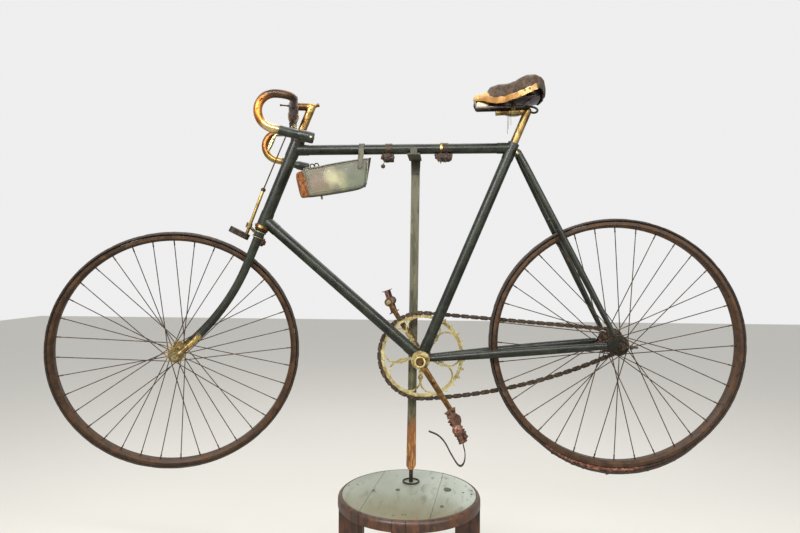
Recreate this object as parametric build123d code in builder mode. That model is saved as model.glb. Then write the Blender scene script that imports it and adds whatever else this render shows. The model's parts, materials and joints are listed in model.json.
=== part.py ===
import os
from math import acos, asin, atan2, ceil, cos, degrees, hypot, pi, radians, sin, tan

from build123d import *

os.makedirs("parts", exist_ok=True)

# Antique diamond-frame safety bicycle on a post and a round wooden stool.
# The bicycle heads for -X, its chain side is +Y and +Z is up. The frame is
# dimensioned from the centre of the bottom bracket; the origin lies on the
# floor, under the middle of the whole.

# Where the bottom bracket stands from the origin
bracket_x = 71.3
bracket_y = 13.4
bracket_height = 637.0

# Wheels
wheel_radius = 322.0
tyre_width = 34.0
tyre_thickness = 9.0
rim_width = 30.0
rim_depth = 14.0
rim_gauge = 2.4
spoke_gauge = 2.4
spokes_per_set = 9
spoke_lean = 68.0
nipple_radius = 2.2
nipple_length = 12.0
running_clearance = 0.05

# Rear hub, from the bottom bracket
rear_hub_x = 498.0
rear_hub_z = 45.0
rear_locknut_width = 110.0
rear_barrel_radius = 15.0
rear_flange_radius = 26.0
rear_flange_left = -38.0
rear_flange_right = 27.0
flange_thickness = 3.0
rear_axle_radius = 4.75
cog_seat_radius = 15.5

# Front hub, steering straight ahead
front_hub_x = -656.0
front_hub_z = 11.0
front_locknut_width = 92.0
front_barrel_radius = 11.0
front_flange_radius = 20.0
front_flange_offset = 33.0
front_axle_radius = 4.0
front_cone_length = 6.0

# Head and steering
head_angle = 67.5
head_foot_x = -430.5
head_foot_z = 344.0
head_length = 250.0
head_tube_radius = 16.5
head_tube_wall = 2.0
steerer_radius = 12.7
steerer_wall = 1.6
cup_height = 9.0
cup_radius = 19.5
steer_rest = 18.2
bar_slip = 2.2

mitre_gap = 0.05

# Frame tubes
seat_lug_x = 234.0
seat_lug_z = 552.0
top_tube_radius = 13.5
seat_tube_radius = 14.3
down_tube_radius = 15.0
tube_wall = 1.4
seat_tube_rise = 10.0
lug_gauge = 1.0
lug_reach = 24.0
down_tube_head_x = -421.0
down_tube_head_z = 363.0
stay_setback = 34.0
stay_spread_bracket = 20.5
stay_spread_rear = 58.0
chain_stay_height = 21.0
chain_stay_width = 15.0
seat_stay_radius = 8.2
seat_stay_tip_radius = 6.0
seat_stay_spread_top = 19.0
seat_stay_setback = 18.0
seat_stay_foot_rise = 31.0
dropout_thickness = 6.0

# Bottom bracket and cranks
shell_radius = 23.0
shell_width = 70.0
shell_wall = 3.5
cup_flange_radius = 24.0
cup_flange_thickness = 6.0
crank_axle_radius = 8.0
crank_length = 170.0
crank_angle = 123.0
crank_inset = 60.0
crank_thickness = 12.0
crank_eye_radius = 11.5
crank_boss_radius = 14.0
crank_root_width = 16.4
crank_tip_width = 12.4

# Chain: one-inch block chain
pitch = 25.12
ring_teeth = 29
cog_teeth = 8
chain_line = 44.0
tooth_thickness = 4.0
chain_slot = 5.6
plate_thickness = 1.5
plate_height = 10.4
waist_height = 6.0
block_height = 7.4
ring_rim_width = 9.0
ring_hub_radius = 26.0
ring_neck_width = 7.0
ring_branch_width = 4.5
ring_fork_radius = 68.0
ring_arms = 5
ring_arm_start = 195.0

# Pedals
pedal_length = 92.0
pedal_inset = 6.0
pedal_cage_length = 66.0
pedal_plate_height = 22.0
pedal_plate_gauge = 2.0
pedal_spindle_radius = 5.0
pedal_barrel_radius = 9.0
clip_gauge = 2.2
clip_width = 9.0

# Seat post and saddle
seat_post_radius = 10.5
seat_post_insert = 70.0
seat_post_arm_x = 270.0
seat_post_arm_z = 647.0
seat_arm_radius = 7.2
seat_arm_front_x = 192.0
saddle_nose_x = 133.0
saddle_length = 179.0
saddle_edge = 5.0
saddle_wire_radius = 3.2

# Handlebar, steering straight ahead
quill_radius = 11.0
quill_top_z = 667.0
stem_elbow_x = -338.0
stem_arm_radius = 10.0
bar_centre_x = -345.0
bar_centre_z = 641.6
bar_radius = 10.0
bar_half_width = 203.5
bar_corner_radius = 41.5
bar_hook_radius = 41.2
bar_tilt = 6.3
grip_radius = 13.0
grip_length = 92.0
grip_slope = 12.0

# Stand
post_width = 23.4
post_foot_width = 26.0
post_thickness = 12.0
post_offset = 85.0
post_x = -25.5
post_top_z = 538.5
post_foot_z = -322.0
post_lean = 0.6
stool_top_z = -357.6
stool_radius = 188.0
stool_centre_x = -31.0
stool_centre_y = 10.0
stool_thickness = 28.0
stool_round = 11.0
stool_leg_width = 64.0
stool_leg_thickness = 36.0
floor_z = -bracket_height


def at(x, y, z):
    return Vector(bracket_x + x, bracket_y + y, bracket_height + z)


def across(y):
    return Plane(origin=at(0, y, 0), x_dir=(1, 0, 0), z_dir=(0, -1, 0))


def along(start, end):
    return Plane(origin=start, z_dir=end - start)


def rod(start, end, radius):
    with BuildSketch(along(start, end)) as section:
        Circle(radius)
    extrude(section.sketch, amount=(end - start).length)


def hollow_rod(start, end, radius, wall):
    with BuildSketch(along(start, end)) as section:
        Circle(radius)
        Circle(radius - wall, mode=Mode.SUBTRACT)
    extrude(section.sketch, amount=(end - start).length)


def bore(start, end, radius):
    with BuildSketch(along(start, end)) as section:
        Circle(radius)
    extrude(section.sketch, amount=(end - start).length, mode=Mode.SUBTRACT)


# Directions and main points
head_dir = Vector(cos(radians(head_angle)), 0, sin(radians(head_angle)))
head_foot = at(head_foot_x, 0, head_foot_z)
head_top = head_foot + head_dir * head_length
steering = Axis(head_foot, head_dir)
seat_lug_point = at(seat_lug_x, 0, seat_lug_z)
bracket = at(0, 0, 0)
seat_dir = (seat_lug_point - bracket).normalized()
seat_top = seat_lug_point + seat_dir * seat_tube_rise
rear_hub = at(rear_hub_x, 0, rear_hub_z)
front_hub = at(front_hub_x, 0, front_hub_z)
lateral = Vector(0, 1, 0)


# Where the stays meet the rear fork ends
stay_end_x = rear_hub_x - stay_setback
stay_end_z = rear_hub_z + 0.5
seat_stay_foot_x = rear_hub_x - seat_stay_setback
seat_stay_foot_z = rear_hub_z + seat_stay_foot_rise


def head_point(z):
    return head_foot + head_dir * ((z - head_foot_z) / sin(radians(head_angle)))


def seat_point(z):
    return bracket + seat_dir * (z / seat_dir.Z)


top_tube_front = head_point(seat_lug_z)
down_tube_head = at(down_tube_head_x, 0, down_tube_head_z)
top_dir = (seat_lug_point - top_tube_front).normalized()
down_dir = (down_tube_head - bracket).normalized()

# Frame tubes
with BuildPart() as head_tube:
    hollow_rod(head_foot, head_top, head_tube_radius, head_tube_wall)
head_tube.part.label = "head_tube"
export_step(head_tube.part, "parts/head_tube.step")

with BuildPart() as top_tube:
    hollow_rod(top_tube_front, seat_lug_point, top_tube_radius, tube_wall)
    bore(head_foot, head_top, head_tube_radius + mitre_gap)
    bore(bracket, seat_top + seat_dir * 12.0, seat_tube_radius + mitre_gap)
top_tube.part.label = "top_tube"
export_step(top_tube.part, "parts/top_tube.step")

with BuildPart() as down_tube:
    hollow_rod(bracket, down_tube_head, down_tube_radius, tube_wall)
    bore(head_foot, head_top, head_tube_radius + mitre_gap)
    bore(head_foot - head_dir * cup_height, head_foot, cup_radius + mitre_gap)
    bore(at(0, -shell_width, 0), at(0, shell_width, 0), shell_radius + mitre_gap)
down_tube.part.label = "down_tube"
export_step(down_tube.part, "parts/down_tube.step")

with BuildPart() as seat_tube:
    hollow_rod(bracket, seat_top, seat_tube_radius, tube_wall)
    bore(at(0, -shell_width, 0), at(0, shell_width, 0), shell_radius + mitre_gap)
    bore(bracket, down_tube_head, down_tube_radius + mitre_gap)
seat_tube.part.label = "seat_tube"
export_step(seat_tube.part, "parts/seat_tube.step")

# Lugs are sleeves brazed over the tube ends
upper_lug_height = 46.0
lower_lug_height = 44.0
with BuildPart() as head_lugs:
    rod(head_top - head_dir * upper_lug_height, head_top, head_tube_radius + lug_gauge)
    rod(top_tube_front, top_tube_front + top_dir * (head_tube_radius + lug_reach), top_tube_radius + lug_gauge)
    rod(head_foot, head_foot + head_dir * lower_lug_height, head_tube_radius + lug_gauge)
    rod(down_tube_head, down_tube_head - down_dir * (head_tube_radius + lug_reach), down_tube_radius + lug_gauge)
    bore(head_foot - head_dir * 20, head_top + head_dir * 20, head_tube_radius)
    bore(bracket, down_tube_head, down_tube_radius)
    bore(top_tube_front, seat_lug_point, top_tube_radius)
    bore(head_foot - head_dir * cup_height, head_foot, cup_radius + mitre_gap)
head_lugs.part.label = "head_lugs"
export_step(head_lugs.part, "parts/head_lugs.step")

# Seat lug with its collar for the post and an ear for the seat stays' bolt
stay_top_x = seat_lug_x + 15.0
stay_top_z = seat_lug_z - 13.0
stay_bolt_radius = 4.0
with BuildPart() as seat_lug:
    rod(seat_point(seat_lug_z - 30), seat_top, seat_tube_radius + lug_gauge)
    rod(seat_lug_point, seat_lug_point - top_dir * (seat_tube_radius + lug_reach), top_tube_radius + lug_gauge)
    with BuildSketch(across(-7.0)):
        with Locations((stay_top_x - 2.0, stay_top_z)):
            Circle(10.0)
    extrude(amount=-14.0)
    bore(bracket, seat_top, seat_tube_radius)
    rod(seat_top, seat_top + seat_dir * 3.0, seat_tube_radius + lug_gauge)
    bore(bracket, seat_top + seat_dir * 9.0, seat_post_radius)
    bore(top_tube_front, seat_lug_point, top_tube_radius)
seat_lug.part.label = "seat_lug"
export_step(seat_lug.part, "parts/seat_lug.step")


# Chain stays: oval, slimmer at the bracket, spreading round the wheel
def chain_stay(side):
    start = at(shell_radius + 1.0, side * stay_spread_bracket, 1.5)
    end = at(stay_end_x, side * stay_spread_rear, stay_end_z)
    direction = end - start
    sections = []
    for share, height, width in ((0, 0.72, 0.86), (0.4, 1.0, 1.0), (1, 0.78, 0.9)):
        with BuildSketch(Plane(origin=start + direction * share, x_dir=(0, 1, 0), z_dir=direction)) as section:
            Ellipse(chain_stay_width / 2 * width, chain_stay_height / 2 * height)
        sections.append(section.sketch)
    loft(sections)


def chain_stay_y(x):
    share = (x - shell_radius - 1.0) / (stay_end_x - shell_radius - 1.0)
    return stay_spread_bracket + share * (stay_spread_rear - stay_spread_bracket)


def chain_stay_z(x):
    return 1.5 + (x - shell_radius - 1.0) / (stay_end_x - shell_radius - 1.0) * (stay_end_z - 1.5)


chain_bridge_x = 146.0
bridge_radius = 5.0
with BuildPart() as chain_stays:
    chain_stay(-1)
    chain_stay(1)
    reach = chain_stay_y(chain_bridge_x)
    rod(
        at(chain_bridge_x, -reach, chain_stay_z(chain_bridge_x)),
        at(chain_bridge_x, reach, chain_stay_z(chain_bridge_x)),
        bridge_radius,
    )
chain_stays.part.label = "chain_stays"
export_step(chain_stays.part, "parts/chain_stays.step")

# Bottom bracket shell with sockets for the four tubes
socket_depth = 26.0
with BuildPart() as bracket_shell:
    rod(bracket, bracket + seat_dir * (shell_radius + socket_depth), seat_tube_radius + lug_gauge)
    rod(bracket, bracket + down_dir * (shell_radius + socket_depth), down_tube_radius + lug_gauge)
    bore(bracket, seat_top, seat_tube_radius)
    bore(bracket, down_tube_head, down_tube_radius)
    for side in (-1, 1):
        socket_dir = at(stay_end_x, side * stay_spread_rear, stay_end_z) - at(
            shell_radius + 1.0, side * stay_spread_bracket, 1.5
        )
        with BuildSketch(
            Plane(origin=at(8.0, side * (stay_spread_bracket - 1.0), 0.5), x_dir=(0, 1, 0), z_dir=socket_dir)
        ):
            Ellipse(chain_stay_width / 2 * 0.86 + 1.2, chain_stay_height / 2 * 0.72 + 1.4)
        extrude(amount=shell_radius - 7.2)
    rod(at(0, -shell_width / 2, 0), at(0, shell_width / 2, 0), shell_radius)
    bore(at(0, -shell_width, 0), at(0, shell_width, 0), shell_radius - shell_wall)
bracket_shell.part.label = "bracket_shell"
export_step(bracket_shell.part, "parts/bracket_shell.step")

# Bearing cups screwed into the shell's ends
with BuildPart() as bracket_cups:
    for side in (-1, 1):
        rod(
            at(0, side * (shell_width / 2 - 12), 0),
            at(0, side * shell_width / 2, 0),
            shell_radius - shell_wall,
        )
        rod(
            at(0, side * shell_width / 2, 0),
            at(0, side * (shell_width / 2 + cup_flange_thickness), 0),
            cup_flange_radius if side < 0 else shell_radius,
        )
    bore(at(0, -shell_width, 0), at(0, shell_width, 0), crank_axle_radius + running_clearance)
bracket_cups.part.label = "bracket_cups"
export_step(bracket_cups.part, "parts/bracket_cups.step")


# Seat stays, tapered to both ends, and their fork ends
def seat_stay(side):
    start = at(stay_top_x, side * seat_stay_spread_top, stay_top_z)
    end = at(seat_stay_foot_x, side * stay_spread_rear, seat_stay_foot_z)
    run = (end - start).length
    with BuildSketch(Plane(origin=start, x_dir=(end - start).cross(Vector(0, 1, 0)), z_dir=(end - start).cross(Vector(0, 1, 0)).cross(end - start))) as section:
        with BuildLine():
            Polyline(
                (0, 0),
                (7.0, 0),
                (seat_stay_radius, 40),
                (seat_stay_radius, run * 0.72),
                (seat_stay_tip_radius, run),
                (0, run),
                close=True,
            )
        make_face()
    revolve(section.sketch, axis=Axis(start, end - start))


seat_bridge_share = 0.37
with BuildPart() as seat_stays:
    seat_stay(-1)
    seat_stay(1)
    bridge_x = stay_top_x + seat_bridge_share * (seat_stay_foot_x - stay_top_x)
    bridge_z = stay_top_z + seat_bridge_share * (seat_stay_foot_z - stay_top_z)
    bridge_y = seat_stay_spread_top + seat_bridge_share * (stay_spread_rear - seat_stay_spread_top)
    rod(at(bridge_x, -bridge_y, bridge_z), at(bridge_x, bridge_y, bridge_z), bridge_radius)
    # The bolt that holds both stays to the seat lug
    bolt_reach = seat_stay_spread_top + seat_stay_radius + 3.0
    for side in (-1, 1):
        rod(at(stay_top_x, side * 7.0, stay_top_z), at(stay_top_x, side * bolt_reach, stay_top_z), stay_bolt_radius)
seat_stays.part.label = "seat_stays"
export_step(seat_stays.part, "parts/seat_stays.step")

# Rear fork ends: flat plates, slotted to the rear for the axle
with BuildPart() as rear_fork_ends:
    for side in (-1, 1):
        with BuildSketch(across(side * rear_locknut_width / 2)) as plate:
            with Locations((rear_hub_x - 2, rear_hub_z)):
                Circle(17.0)
            with Locations((stay_end_x + 10.0, stay_end_z)):
                Circle(8.5)
            with Locations((seat_stay_foot_x + 4.0, seat_stay_foot_z - 10.0)):
                Circle(6.0)
            make_hull()
            with Locations((rear_hub_x, rear_hub_z)):
                Circle(rear_axle_radius + 0.2, mode=Mode.SUBTRACT)
            with Locations((rear_hub_x + 15.0, rear_hub_z)):
                Rectangle(30.0, 2 * rear_axle_radius + 0.4, mode=Mode.SUBTRACT)
        extrude(amount=-side * dropout_thickness)
rear_fork_ends.part.label = "rear_fork_ends"
export_step(rear_fork_ends.part, "parts/rear_fork_ends.step")

# Axle, cones, nuts and the two chain adjusters
nut_thickness = 8.0
axle_overhang = 20.0
with BuildPart() as rear_axle:
    tip = rear_locknut_width / 2 + dropout_thickness + axle_overhang
    rod(at(rear_hub_x, -tip, rear_hub_z), at(rear_hub_x, tip, rear_hub_z), rear_axle_radius)
    for side in (-1, 1):
        inner = side * rear_locknut_width / 2
        outer = side * (rear_locknut_width / 2 + dropout_thickness)
        rod(at(rear_hub_x, inner, rear_hub_z), at(rear_hub_x, inner - side * 3.0, rear_hub_z), 8.0)
        with BuildSketch(across(outer)):
            with Locations((rear_hub_x, rear_hub_z)):
                Circle(11.0)
        extrude(amount=-side * 2.0)
        with BuildSketch(across(outer + side * 2.0)):
            with Locations((rear_hub_x, rear_hub_z)):
                RegularPolygon(9.0, 6)
        extrude(amount=-side * nut_thickness)
        adjuster_y = outer + side * 5.0
        rod(at(rear_hub_x, adjuster_y, rear_hub_z), at(rear_hub_x + 38.0, adjuster_y, rear_hub_z - 1.0), 2.6)
        rod(at(rear_hub_x + 20.0, adjuster_y, rear_hub_z - 0.5), at(rear_hub_x + 25.0, adjuster_y, rear_hub_z - 0.7), 5.5)
rear_axle.part.label = "rear_axle"
export_step(rear_axle.part, "parts/rear_axle.step")


# Wheels
def spoke_planes(hub, flange_y, flange_radius, rim_side, lean, first):
    planes = []
    for number in range(spokes_per_set):
        rim_turn = radians(first + number * 360.0 / spokes_per_set)
        hub_turn = rim_turn + radians(lean)
        inner = hub + Vector(flange_radius * cos(hub_turn), flange_y, flange_radius * sin(hub_turn))
        reach = wheel_radius - tyre_thickness - rim_depth - 0.4
        outer = hub + Vector(reach * cos(rim_turn), rim_side, reach * sin(rim_turn))
        planes.append(Plane(origin=inner, z_dir=outer - inner))
    return planes


def spoke_length(flange_y, flange_radius, rim_side, lean):
    reach = wheel_radius - tyre_thickness - rim_depth - 0.4
    plan = reach**2 + flange_radius**2 - 2 * reach * flange_radius * cos(radians(lean))
    return (plan + (flange_y - rim_side) ** 2) ** 0.5


def hub_body(hub, stations, axle_radius):
    with BuildSketch(Plane(origin=hub, x_dir=(0, 1, 0), z_dir=(1, 0, 0))) as profile:
        with BuildLine():
            Polyline(
                (stations[0][0], axle_radius + running_clearance),
                *stations,
                (stations[-1][0], axle_radius + running_clearance),
                close=True,
            )
        make_face()
    revolve(profile.sketch, axis=Axis(hub, lateral))


step_angle = 360.0 / spokes_per_set / 4
with BuildPart() as front_hub_spokes:
    hub_end = front_locknut_width / 2 - front_cone_length - 0.4
    hub_body(
        front_hub,
        [
            (-hub_end, front_barrel_radius + 2),
            (-front_flange_offset - flange_thickness / 2, front_barrel_radius + 2),
            (-front_flange_offset - flange_thickness / 2, front_flange_radius),
            (-front_flange_offset + flange_thickness / 2, front_flange_radius),
            (-front_flange_offset + flange_thickness / 2, front_barrel_radius),
            (front_flange_offset - flange_thickness / 2, front_barrel_radius),
            (front_flange_offset - flange_thickness / 2, front_flange_radius),
            (front_flange_offset + flange_thickness / 2, front_flange_radius),
            (front_flange_offset + flange_thickness / 2, front_barrel_radius + 2),
            (hub_end, front_barrel_radius + 2),
        ],
        front_axle_radius,
    )
    for side in (-1, 1):
        for number, lean in enumerate((-spoke_lean, spoke_lean)):
            flange_y = side * (front_flange_offset + (number - 0.5) * (flange_thickness + spoke_gauge - 1.0))
            hole_radius = front_flange_radius - 3.0
            first = (number * 2 + (1 if side > 0 else 0)) * step_angle
            with BuildSketch(*spoke_planes(front_hub, flange_y, hole_radius, side * 2.0, lean, first)):
                Circle(spoke_gauge / 2)
            extrude(amount=spoke_length(flange_y, hole_radius, side * 2.0, lean))

with BuildPart() as rear_hub_spokes:
    hub_body(
        rear_hub,
        [
            (-rear_locknut_width / 2 + 3.5, rear_barrel_radius + 3),
            (rear_flange_left - flange_thickness / 2, rear_barrel_radius + 3),
            (rear_flange_left - flange_thickness / 2, rear_flange_radius),
            (rear_flange_left + flange_thickness / 2, rear_flange_radius),
            (rear_flange_left + flange_thickness / 2, rear_barrel_radius),
            (rear_flange_right - flange_thickness / 2, rear_barrel_radius),
            (rear_flange_right - flange_thickness / 2, rear_flange_radius),
            (rear_flange_right + flange_thickness / 2, rear_flange_radius),
            (rear_flange_right + flange_thickness / 2, cog_seat_radius + 4),
            (chain_line - tooth_thickness, cog_seat_radius + 4),
            (chain_line - tooth_thickness, cog_seat_radius),
            (chain_line + tooth_thickness, cog_seat_radius),
            (rear_locknut_width / 2 - 3.5, cog_seat_radius),
        ],
        rear_axle_radius,
    )
    for side, flange in ((-1, rear_flange_left), (1, rear_flange_right)):
        for number, lean in enumerate((-spoke_lean, spoke_lean)):
            flange_y = flange + side * (number - 0.5) * (flange_thickness + spoke_gauge - 1.0)
            hole_radius = rear_flange_radius - 3.0
            first = (number * 2 + (1 if side > 0 else 0)) * step_angle
            with BuildSketch(*spoke_planes(rear_hub, flange_y, hole_radius, side * 2.0, lean, first)):
                Circle(spoke_gauge / 2)
            extrude(amount=spoke_length(flange_y, hole_radius, side * 2.0, lean))


def rim(hub):
    outer = wheel_radius - tyre_thickness
    half = rim_width / 2
    with BuildSketch(Plane(origin=hub, x_dir=(0, 1, 0), z_dir=(1, 0, 0))) as profile:
        with BuildLine():
            Polyline(
                (-half, outer),
                (-half, outer - rim_depth * 0.55),
                (-half * 0.55, outer - rim_depth),
                (half * 0.55, outer - rim_depth),
                (half, outer - rim_depth * 0.55),
                (half, outer),
                (half - rim_gauge * 1.6, outer),
                (half - rim_gauge * 1.6, outer - rim_depth * 0.45),
                (half * 0.45, outer - rim_depth + rim_gauge),
                (-half * 0.45, outer - rim_depth + rim_gauge),
                (-half + rim_gauge * 1.6, outer - rim_depth * 0.45),
                (-half + rim_gauge * 1.6, outer),
                close=True,
            )
        make_face()
    revolve(profile.sketch, axis=Axis(hub, lateral))


def tyre_section(radius):
    half = tyre_width / 2
    return (
        (-half + 2, radius - tyre_thickness + 0.2),
        (-half, radius - tyre_thickness * 0.55),
        (-half * 0.6, radius - tyre_thickness * 0.1),
        (0, radius),
        (half * 0.6, radius - tyre_thickness * 0.1),
        (half, radius - tyre_thickness * 0.55),
        (half - 2, radius - tyre_thickness + 0.2),
    )


with BuildPart() as front_rim:
    rim(front_hub)
with BuildPart() as rear_rim:
    rim(rear_hub)
rear_rim.part.label = "rear_rim"
export_step(rear_rim.part, "parts/rear_rim.step")
rear_hub_spokes.part.label = "rear_hub_spokes"
export_step(rear_hub_spokes.part, "parts/rear_hub_spokes.step")

with BuildPart() as front_tyre:
    with BuildSketch(Plane(origin=front_hub, x_dir=(0, 1, 0), z_dir=(1, 0, 0))):
        with BuildLine():
            Polyline(*tyre_section(wheel_radius), close=True)
        make_face()
    revolve(axis=Axis(front_hub, lateral))

# The rear tyre has torn loose below and hangs off the rim there
sag_half_angle = 38.0
sag_middle = 272.0
sag_drop = 11.0
sag_lap = 1.5
with BuildPart() as rear_tyre:
    start_turn = radians(sag_middle + sag_half_angle - sag_lap)
    start_plane = Plane(
        origin=rear_hub,
        x_dir=(0, 1, 0),
        z_dir=Vector(0, 1, 0).cross(Vector(cos(start_turn), 0, sin(start_turn))),
    )
    with BuildSketch(start_plane):
        with BuildLine():
            Polyline(*tyre_section(wheel_radius), close=True)
        make_face()
    revolve(axis=Axis(rear_hub, lateral * -1), revolution_arc=360 - 2 * sag_half_angle + 2 * sag_lap)
    middle_turn = radians(sag_middle)
    sag_chord = wheel_radius * sin(radians(sag_half_angle))
    sag_height = wheel_radius * (1 - cos(radians(sag_half_angle))) + sag_drop
    sag_radius = (sag_chord**2 + sag_height**2) / (2 * sag_height)
    sag_centre = rear_hub + Vector(cos(middle_turn), 0, sin(middle_turn)) * (wheel_radius + sag_drop - sag_radius)
    sag_turn = middle_turn + asin(sag_chord / sag_radius)
    with BuildSketch(
        Plane(
            origin=sag_centre,
            x_dir=(0, 1, 0),
            z_dir=Vector(0, 1, 0).cross(Vector(cos(sag_turn), 0, sin(sag_turn))),
        )
    ):
        with BuildLine():
            Polyline(*tyre_section(sag_radius), close=True)
        make_face()
    revolve(axis=Axis(sag_centre, lateral), revolution_arc=2 * degrees(asin(sag_chord / sag_radius)))
rear_tyre.part.label = "rear_tyre"
export_step(rear_tyre.part, "parts/rear_tyre.step")

# Chain
ring_pitch_radius = pitch / (2 * sin(pi / ring_teeth))
cog_pitch_radius = pitch / (2 * sin(pi / cog_teeth))
centre_distance = hypot(rear_hub_x, rear_hub_z)
centre_turn = atan2(rear_hub_z, rear_hub_x)
upper_turn = centre_turn + acos((ring_pitch_radius - cog_pitch_radius) / centre_distance)
upper_length = (centre_distance**2 - (ring_pitch_radius - cog_pitch_radius) ** 2) ** 0.5


def lower_run(sag_arc):
    to_ring, to_cog = sag_arc - ring_pitch_radius, sag_arc - cog_pitch_radius
    lean = acos((to_ring**2 + centre_distance**2 - to_cog**2) / (2 * to_ring * centre_distance))
    cx, cz = to_ring * cos(centre_turn + lean), to_ring * sin(centre_turn + lean)
    leave = atan2(-cz, -cx)
    meet = atan2(rear_hub_z - cz, rear_hub_x - cx)
    return cx, cz, leave, meet


def chain_lengths(sag_arc):
    cx, cz, leave, meet = lower_run(sag_arc)
    ring_wrap = (leave % (2 * pi) - upper_turn) * ring_teeth / (2 * pi)
    slack = (meet - leave) * sag_arc / pitch
    cog_wrap = (upper_turn - meet) * cog_teeth / (2 * pi)
    return ring_wrap, slack, cog_wrap, upper_length / pitch


# The slack run hangs in the arc that makes the loop a whole number of pitches
chain_pitches = ceil(sum(chain_lengths(1e6)) + 0.02)
sag_low, sag_high = centre_distance, 1e6
for attempt in range(60):
    sag_arc = (sag_low + sag_high) / 2
    if sum(chain_lengths(sag_arc)) > chain_pitches:
        sag_low = sag_arc
    else:
        sag_high = sag_arc
ring_wrap, slack, cog_wrap, taut = chain_lengths(sag_arc)
slack_x, slack_z, slack_leave, slack_meet = lower_run(sag_arc)


def chain_point(place, height):
    place %= chain_pitches
    if place < ring_wrap:
        turn = upper_turn + place * 2 * pi / ring_teeth
        radius = ring_pitch_radius + height
        return radius * cos(turn), radius * sin(turn)
    place -= ring_wrap
    if place < slack:
        turn = slack_leave + place * pitch / sag_arc
        radius = sag_arc + height
        return slack_x + radius * cos(turn), slack_z + radius * sin(turn)
    place -= slack
    if place < cog_wrap:
        turn = slack_meet + place * 2 * pi / cog_teeth
        radius = cog_pitch_radius + height
        return rear_hub_x + radius * cos(turn), rear_hub_z + radius * sin(turn)
    place = (place - cog_wrap) * pitch
    radius = cog_pitch_radius + height
    start_x = rear_hub_x + radius * cos(upper_turn)
    start_z = rear_hub_z + radius * sin(upper_turn)
    return start_x - place * sin(upper_turn), start_z + place * cos(upper_turn)


block_share = 0.4
plate_stations = ((0.26, waist_height / 2), (0.37, plate_height / 2), (1.03, plate_height / 2), (1.14, waist_height / 2))
with BuildPart() as chain:
    for side in (-1, 1):
        with BuildSketch(across(chain_line + side * chain_slot / 2)):
            with BuildLine():
                Polyline(
                    *[chain_point(n + place, height) for n in range(chain_pitches) for place, height in plate_stations],
                    close=True,
                )
            make_face()
            with BuildLine():
                Polyline(
                    *[chain_point(n + place, -height) for n in range(chain_pitches) for place, height in plate_stations],
                    close=True,
                )
            make_face(mode=Mode.SUBTRACT)
        extrude(amount=-side * plate_thickness)
    # Solid blocks sit between the plates along both free runs
    with BuildSketch(across(chain_line - chain_slot / 2)):
        for number in range(chain_pitches):
            past_ring = number - ring_wrap
            on_slack = 1.8 < past_ring < slack - 1.5
            on_taut = slack + cog_wrap + 1.1 < past_ring < slack + cog_wrap + taut - 2.3
            if on_slack or on_taut:
                with BuildLine():
                    Polyline(
                        chain_point(number - 0.1, -block_height / 2),
                        chain_point(number - 0.1, block_height / 2),
                        chain_point(number + block_share + 0.1, block_height / 2),
                        chain_point(number + block_share + 0.1, -block_height / 2),
                        close=True,
                    )
                make_face()
    extrude(amount=-chain_slot)
chain.part.label = "chain"
export_step(chain.part, "parts/chain.step")
print("chain pitches", chain_pitches, "sag arc", sag_arc, "solids", len(chain.part.solids()))

tooth_place = (block_share + 1.0) / 2
tooth_root = block_height / 2 + 0.5
tooth_rise = 2.4
ring_root = ring_pitch_radius - tooth_root

# Each arm is a beaded stalk that forks into two branches, and these curve into the rim
branch_reach = ring_root - ring_rim_width + 1.5
branch_radius = (branch_reach**2 - ring_fork_radius**2) / (2 * branch_reach)
branch_turn = atan2(branch_radius, ring_fork_radius)
arm_beads = ((38.0, 5.0), (48.0, 6.5), (59.0, 7.0), (ring_fork_radius, 4.0))
arm_holes = ((46.0, 1.5), (57.0, 1.5))


def arm_point(turn, out, sideways):
    return out * cos(turn) - sideways * sin(turn), out * sin(turn) + sideways * cos(turn)


with BuildPart() as chainring:
    with BuildSketch(across(chain_line - tooth_thickness / 2)):
        Circle(ring_root)
        with PolarLocations(ring_root + (tooth_root + tooth_rise) / 2 - 0.3, ring_teeth, start_angle=degrees(upper_turn) + tooth_place * 360 / ring_teeth):
            Trapezoid(9.5, tooth_root + tooth_rise + 0.6, 68, rotation=-90)
        Circle(ring_root - ring_rim_width, mode=Mode.SUBTRACT)
        Circle(ring_hub_radius)
        with PolarLocations((ring_hub_radius + arm_beads[0][0]) / 2, ring_arms, start_angle=ring_arm_start):
            Rectangle(arm_beads[0][0] - ring_hub_radius + 4.0, ring_neck_width)
        for out, radius in arm_beads:
            with PolarLocations(out, ring_arms, start_angle=ring_arm_start):
                Circle(radius)
        for number in range(ring_arms):
            arm_turn = radians(ring_arm_start + number * 360 / ring_arms)
            for side in (-1, 1):
                half_turn = (branch_turn - pi / 2) / 2
                with BuildLine():
                    ThreePointArc(
                        arm_point(arm_turn, ring_fork_radius, 0),
                        arm_point(
                            arm_turn,
                            ring_fork_radius + branch_radius * cos(half_turn),
                            side * branch_radius * (1 + sin(half_turn)),
                        ),
                        arm_point(arm_turn + side * branch_turn, branch_reach, 0),
                    )
                trace(line_width=ring_branch_width)
        for out, radius in arm_holes:
            with PolarLocations(out, ring_arms, start_angle=ring_arm_start):
                Circle(radius, mode=Mode.SUBTRACT)
        Circle(crank_axle_radius, mode=Mode.SUBTRACT)
    extrude(amount=-tooth_thickness)
chainring.part.label = "chainring"
export_step(chainring.part, "parts/chainring.step")

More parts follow.
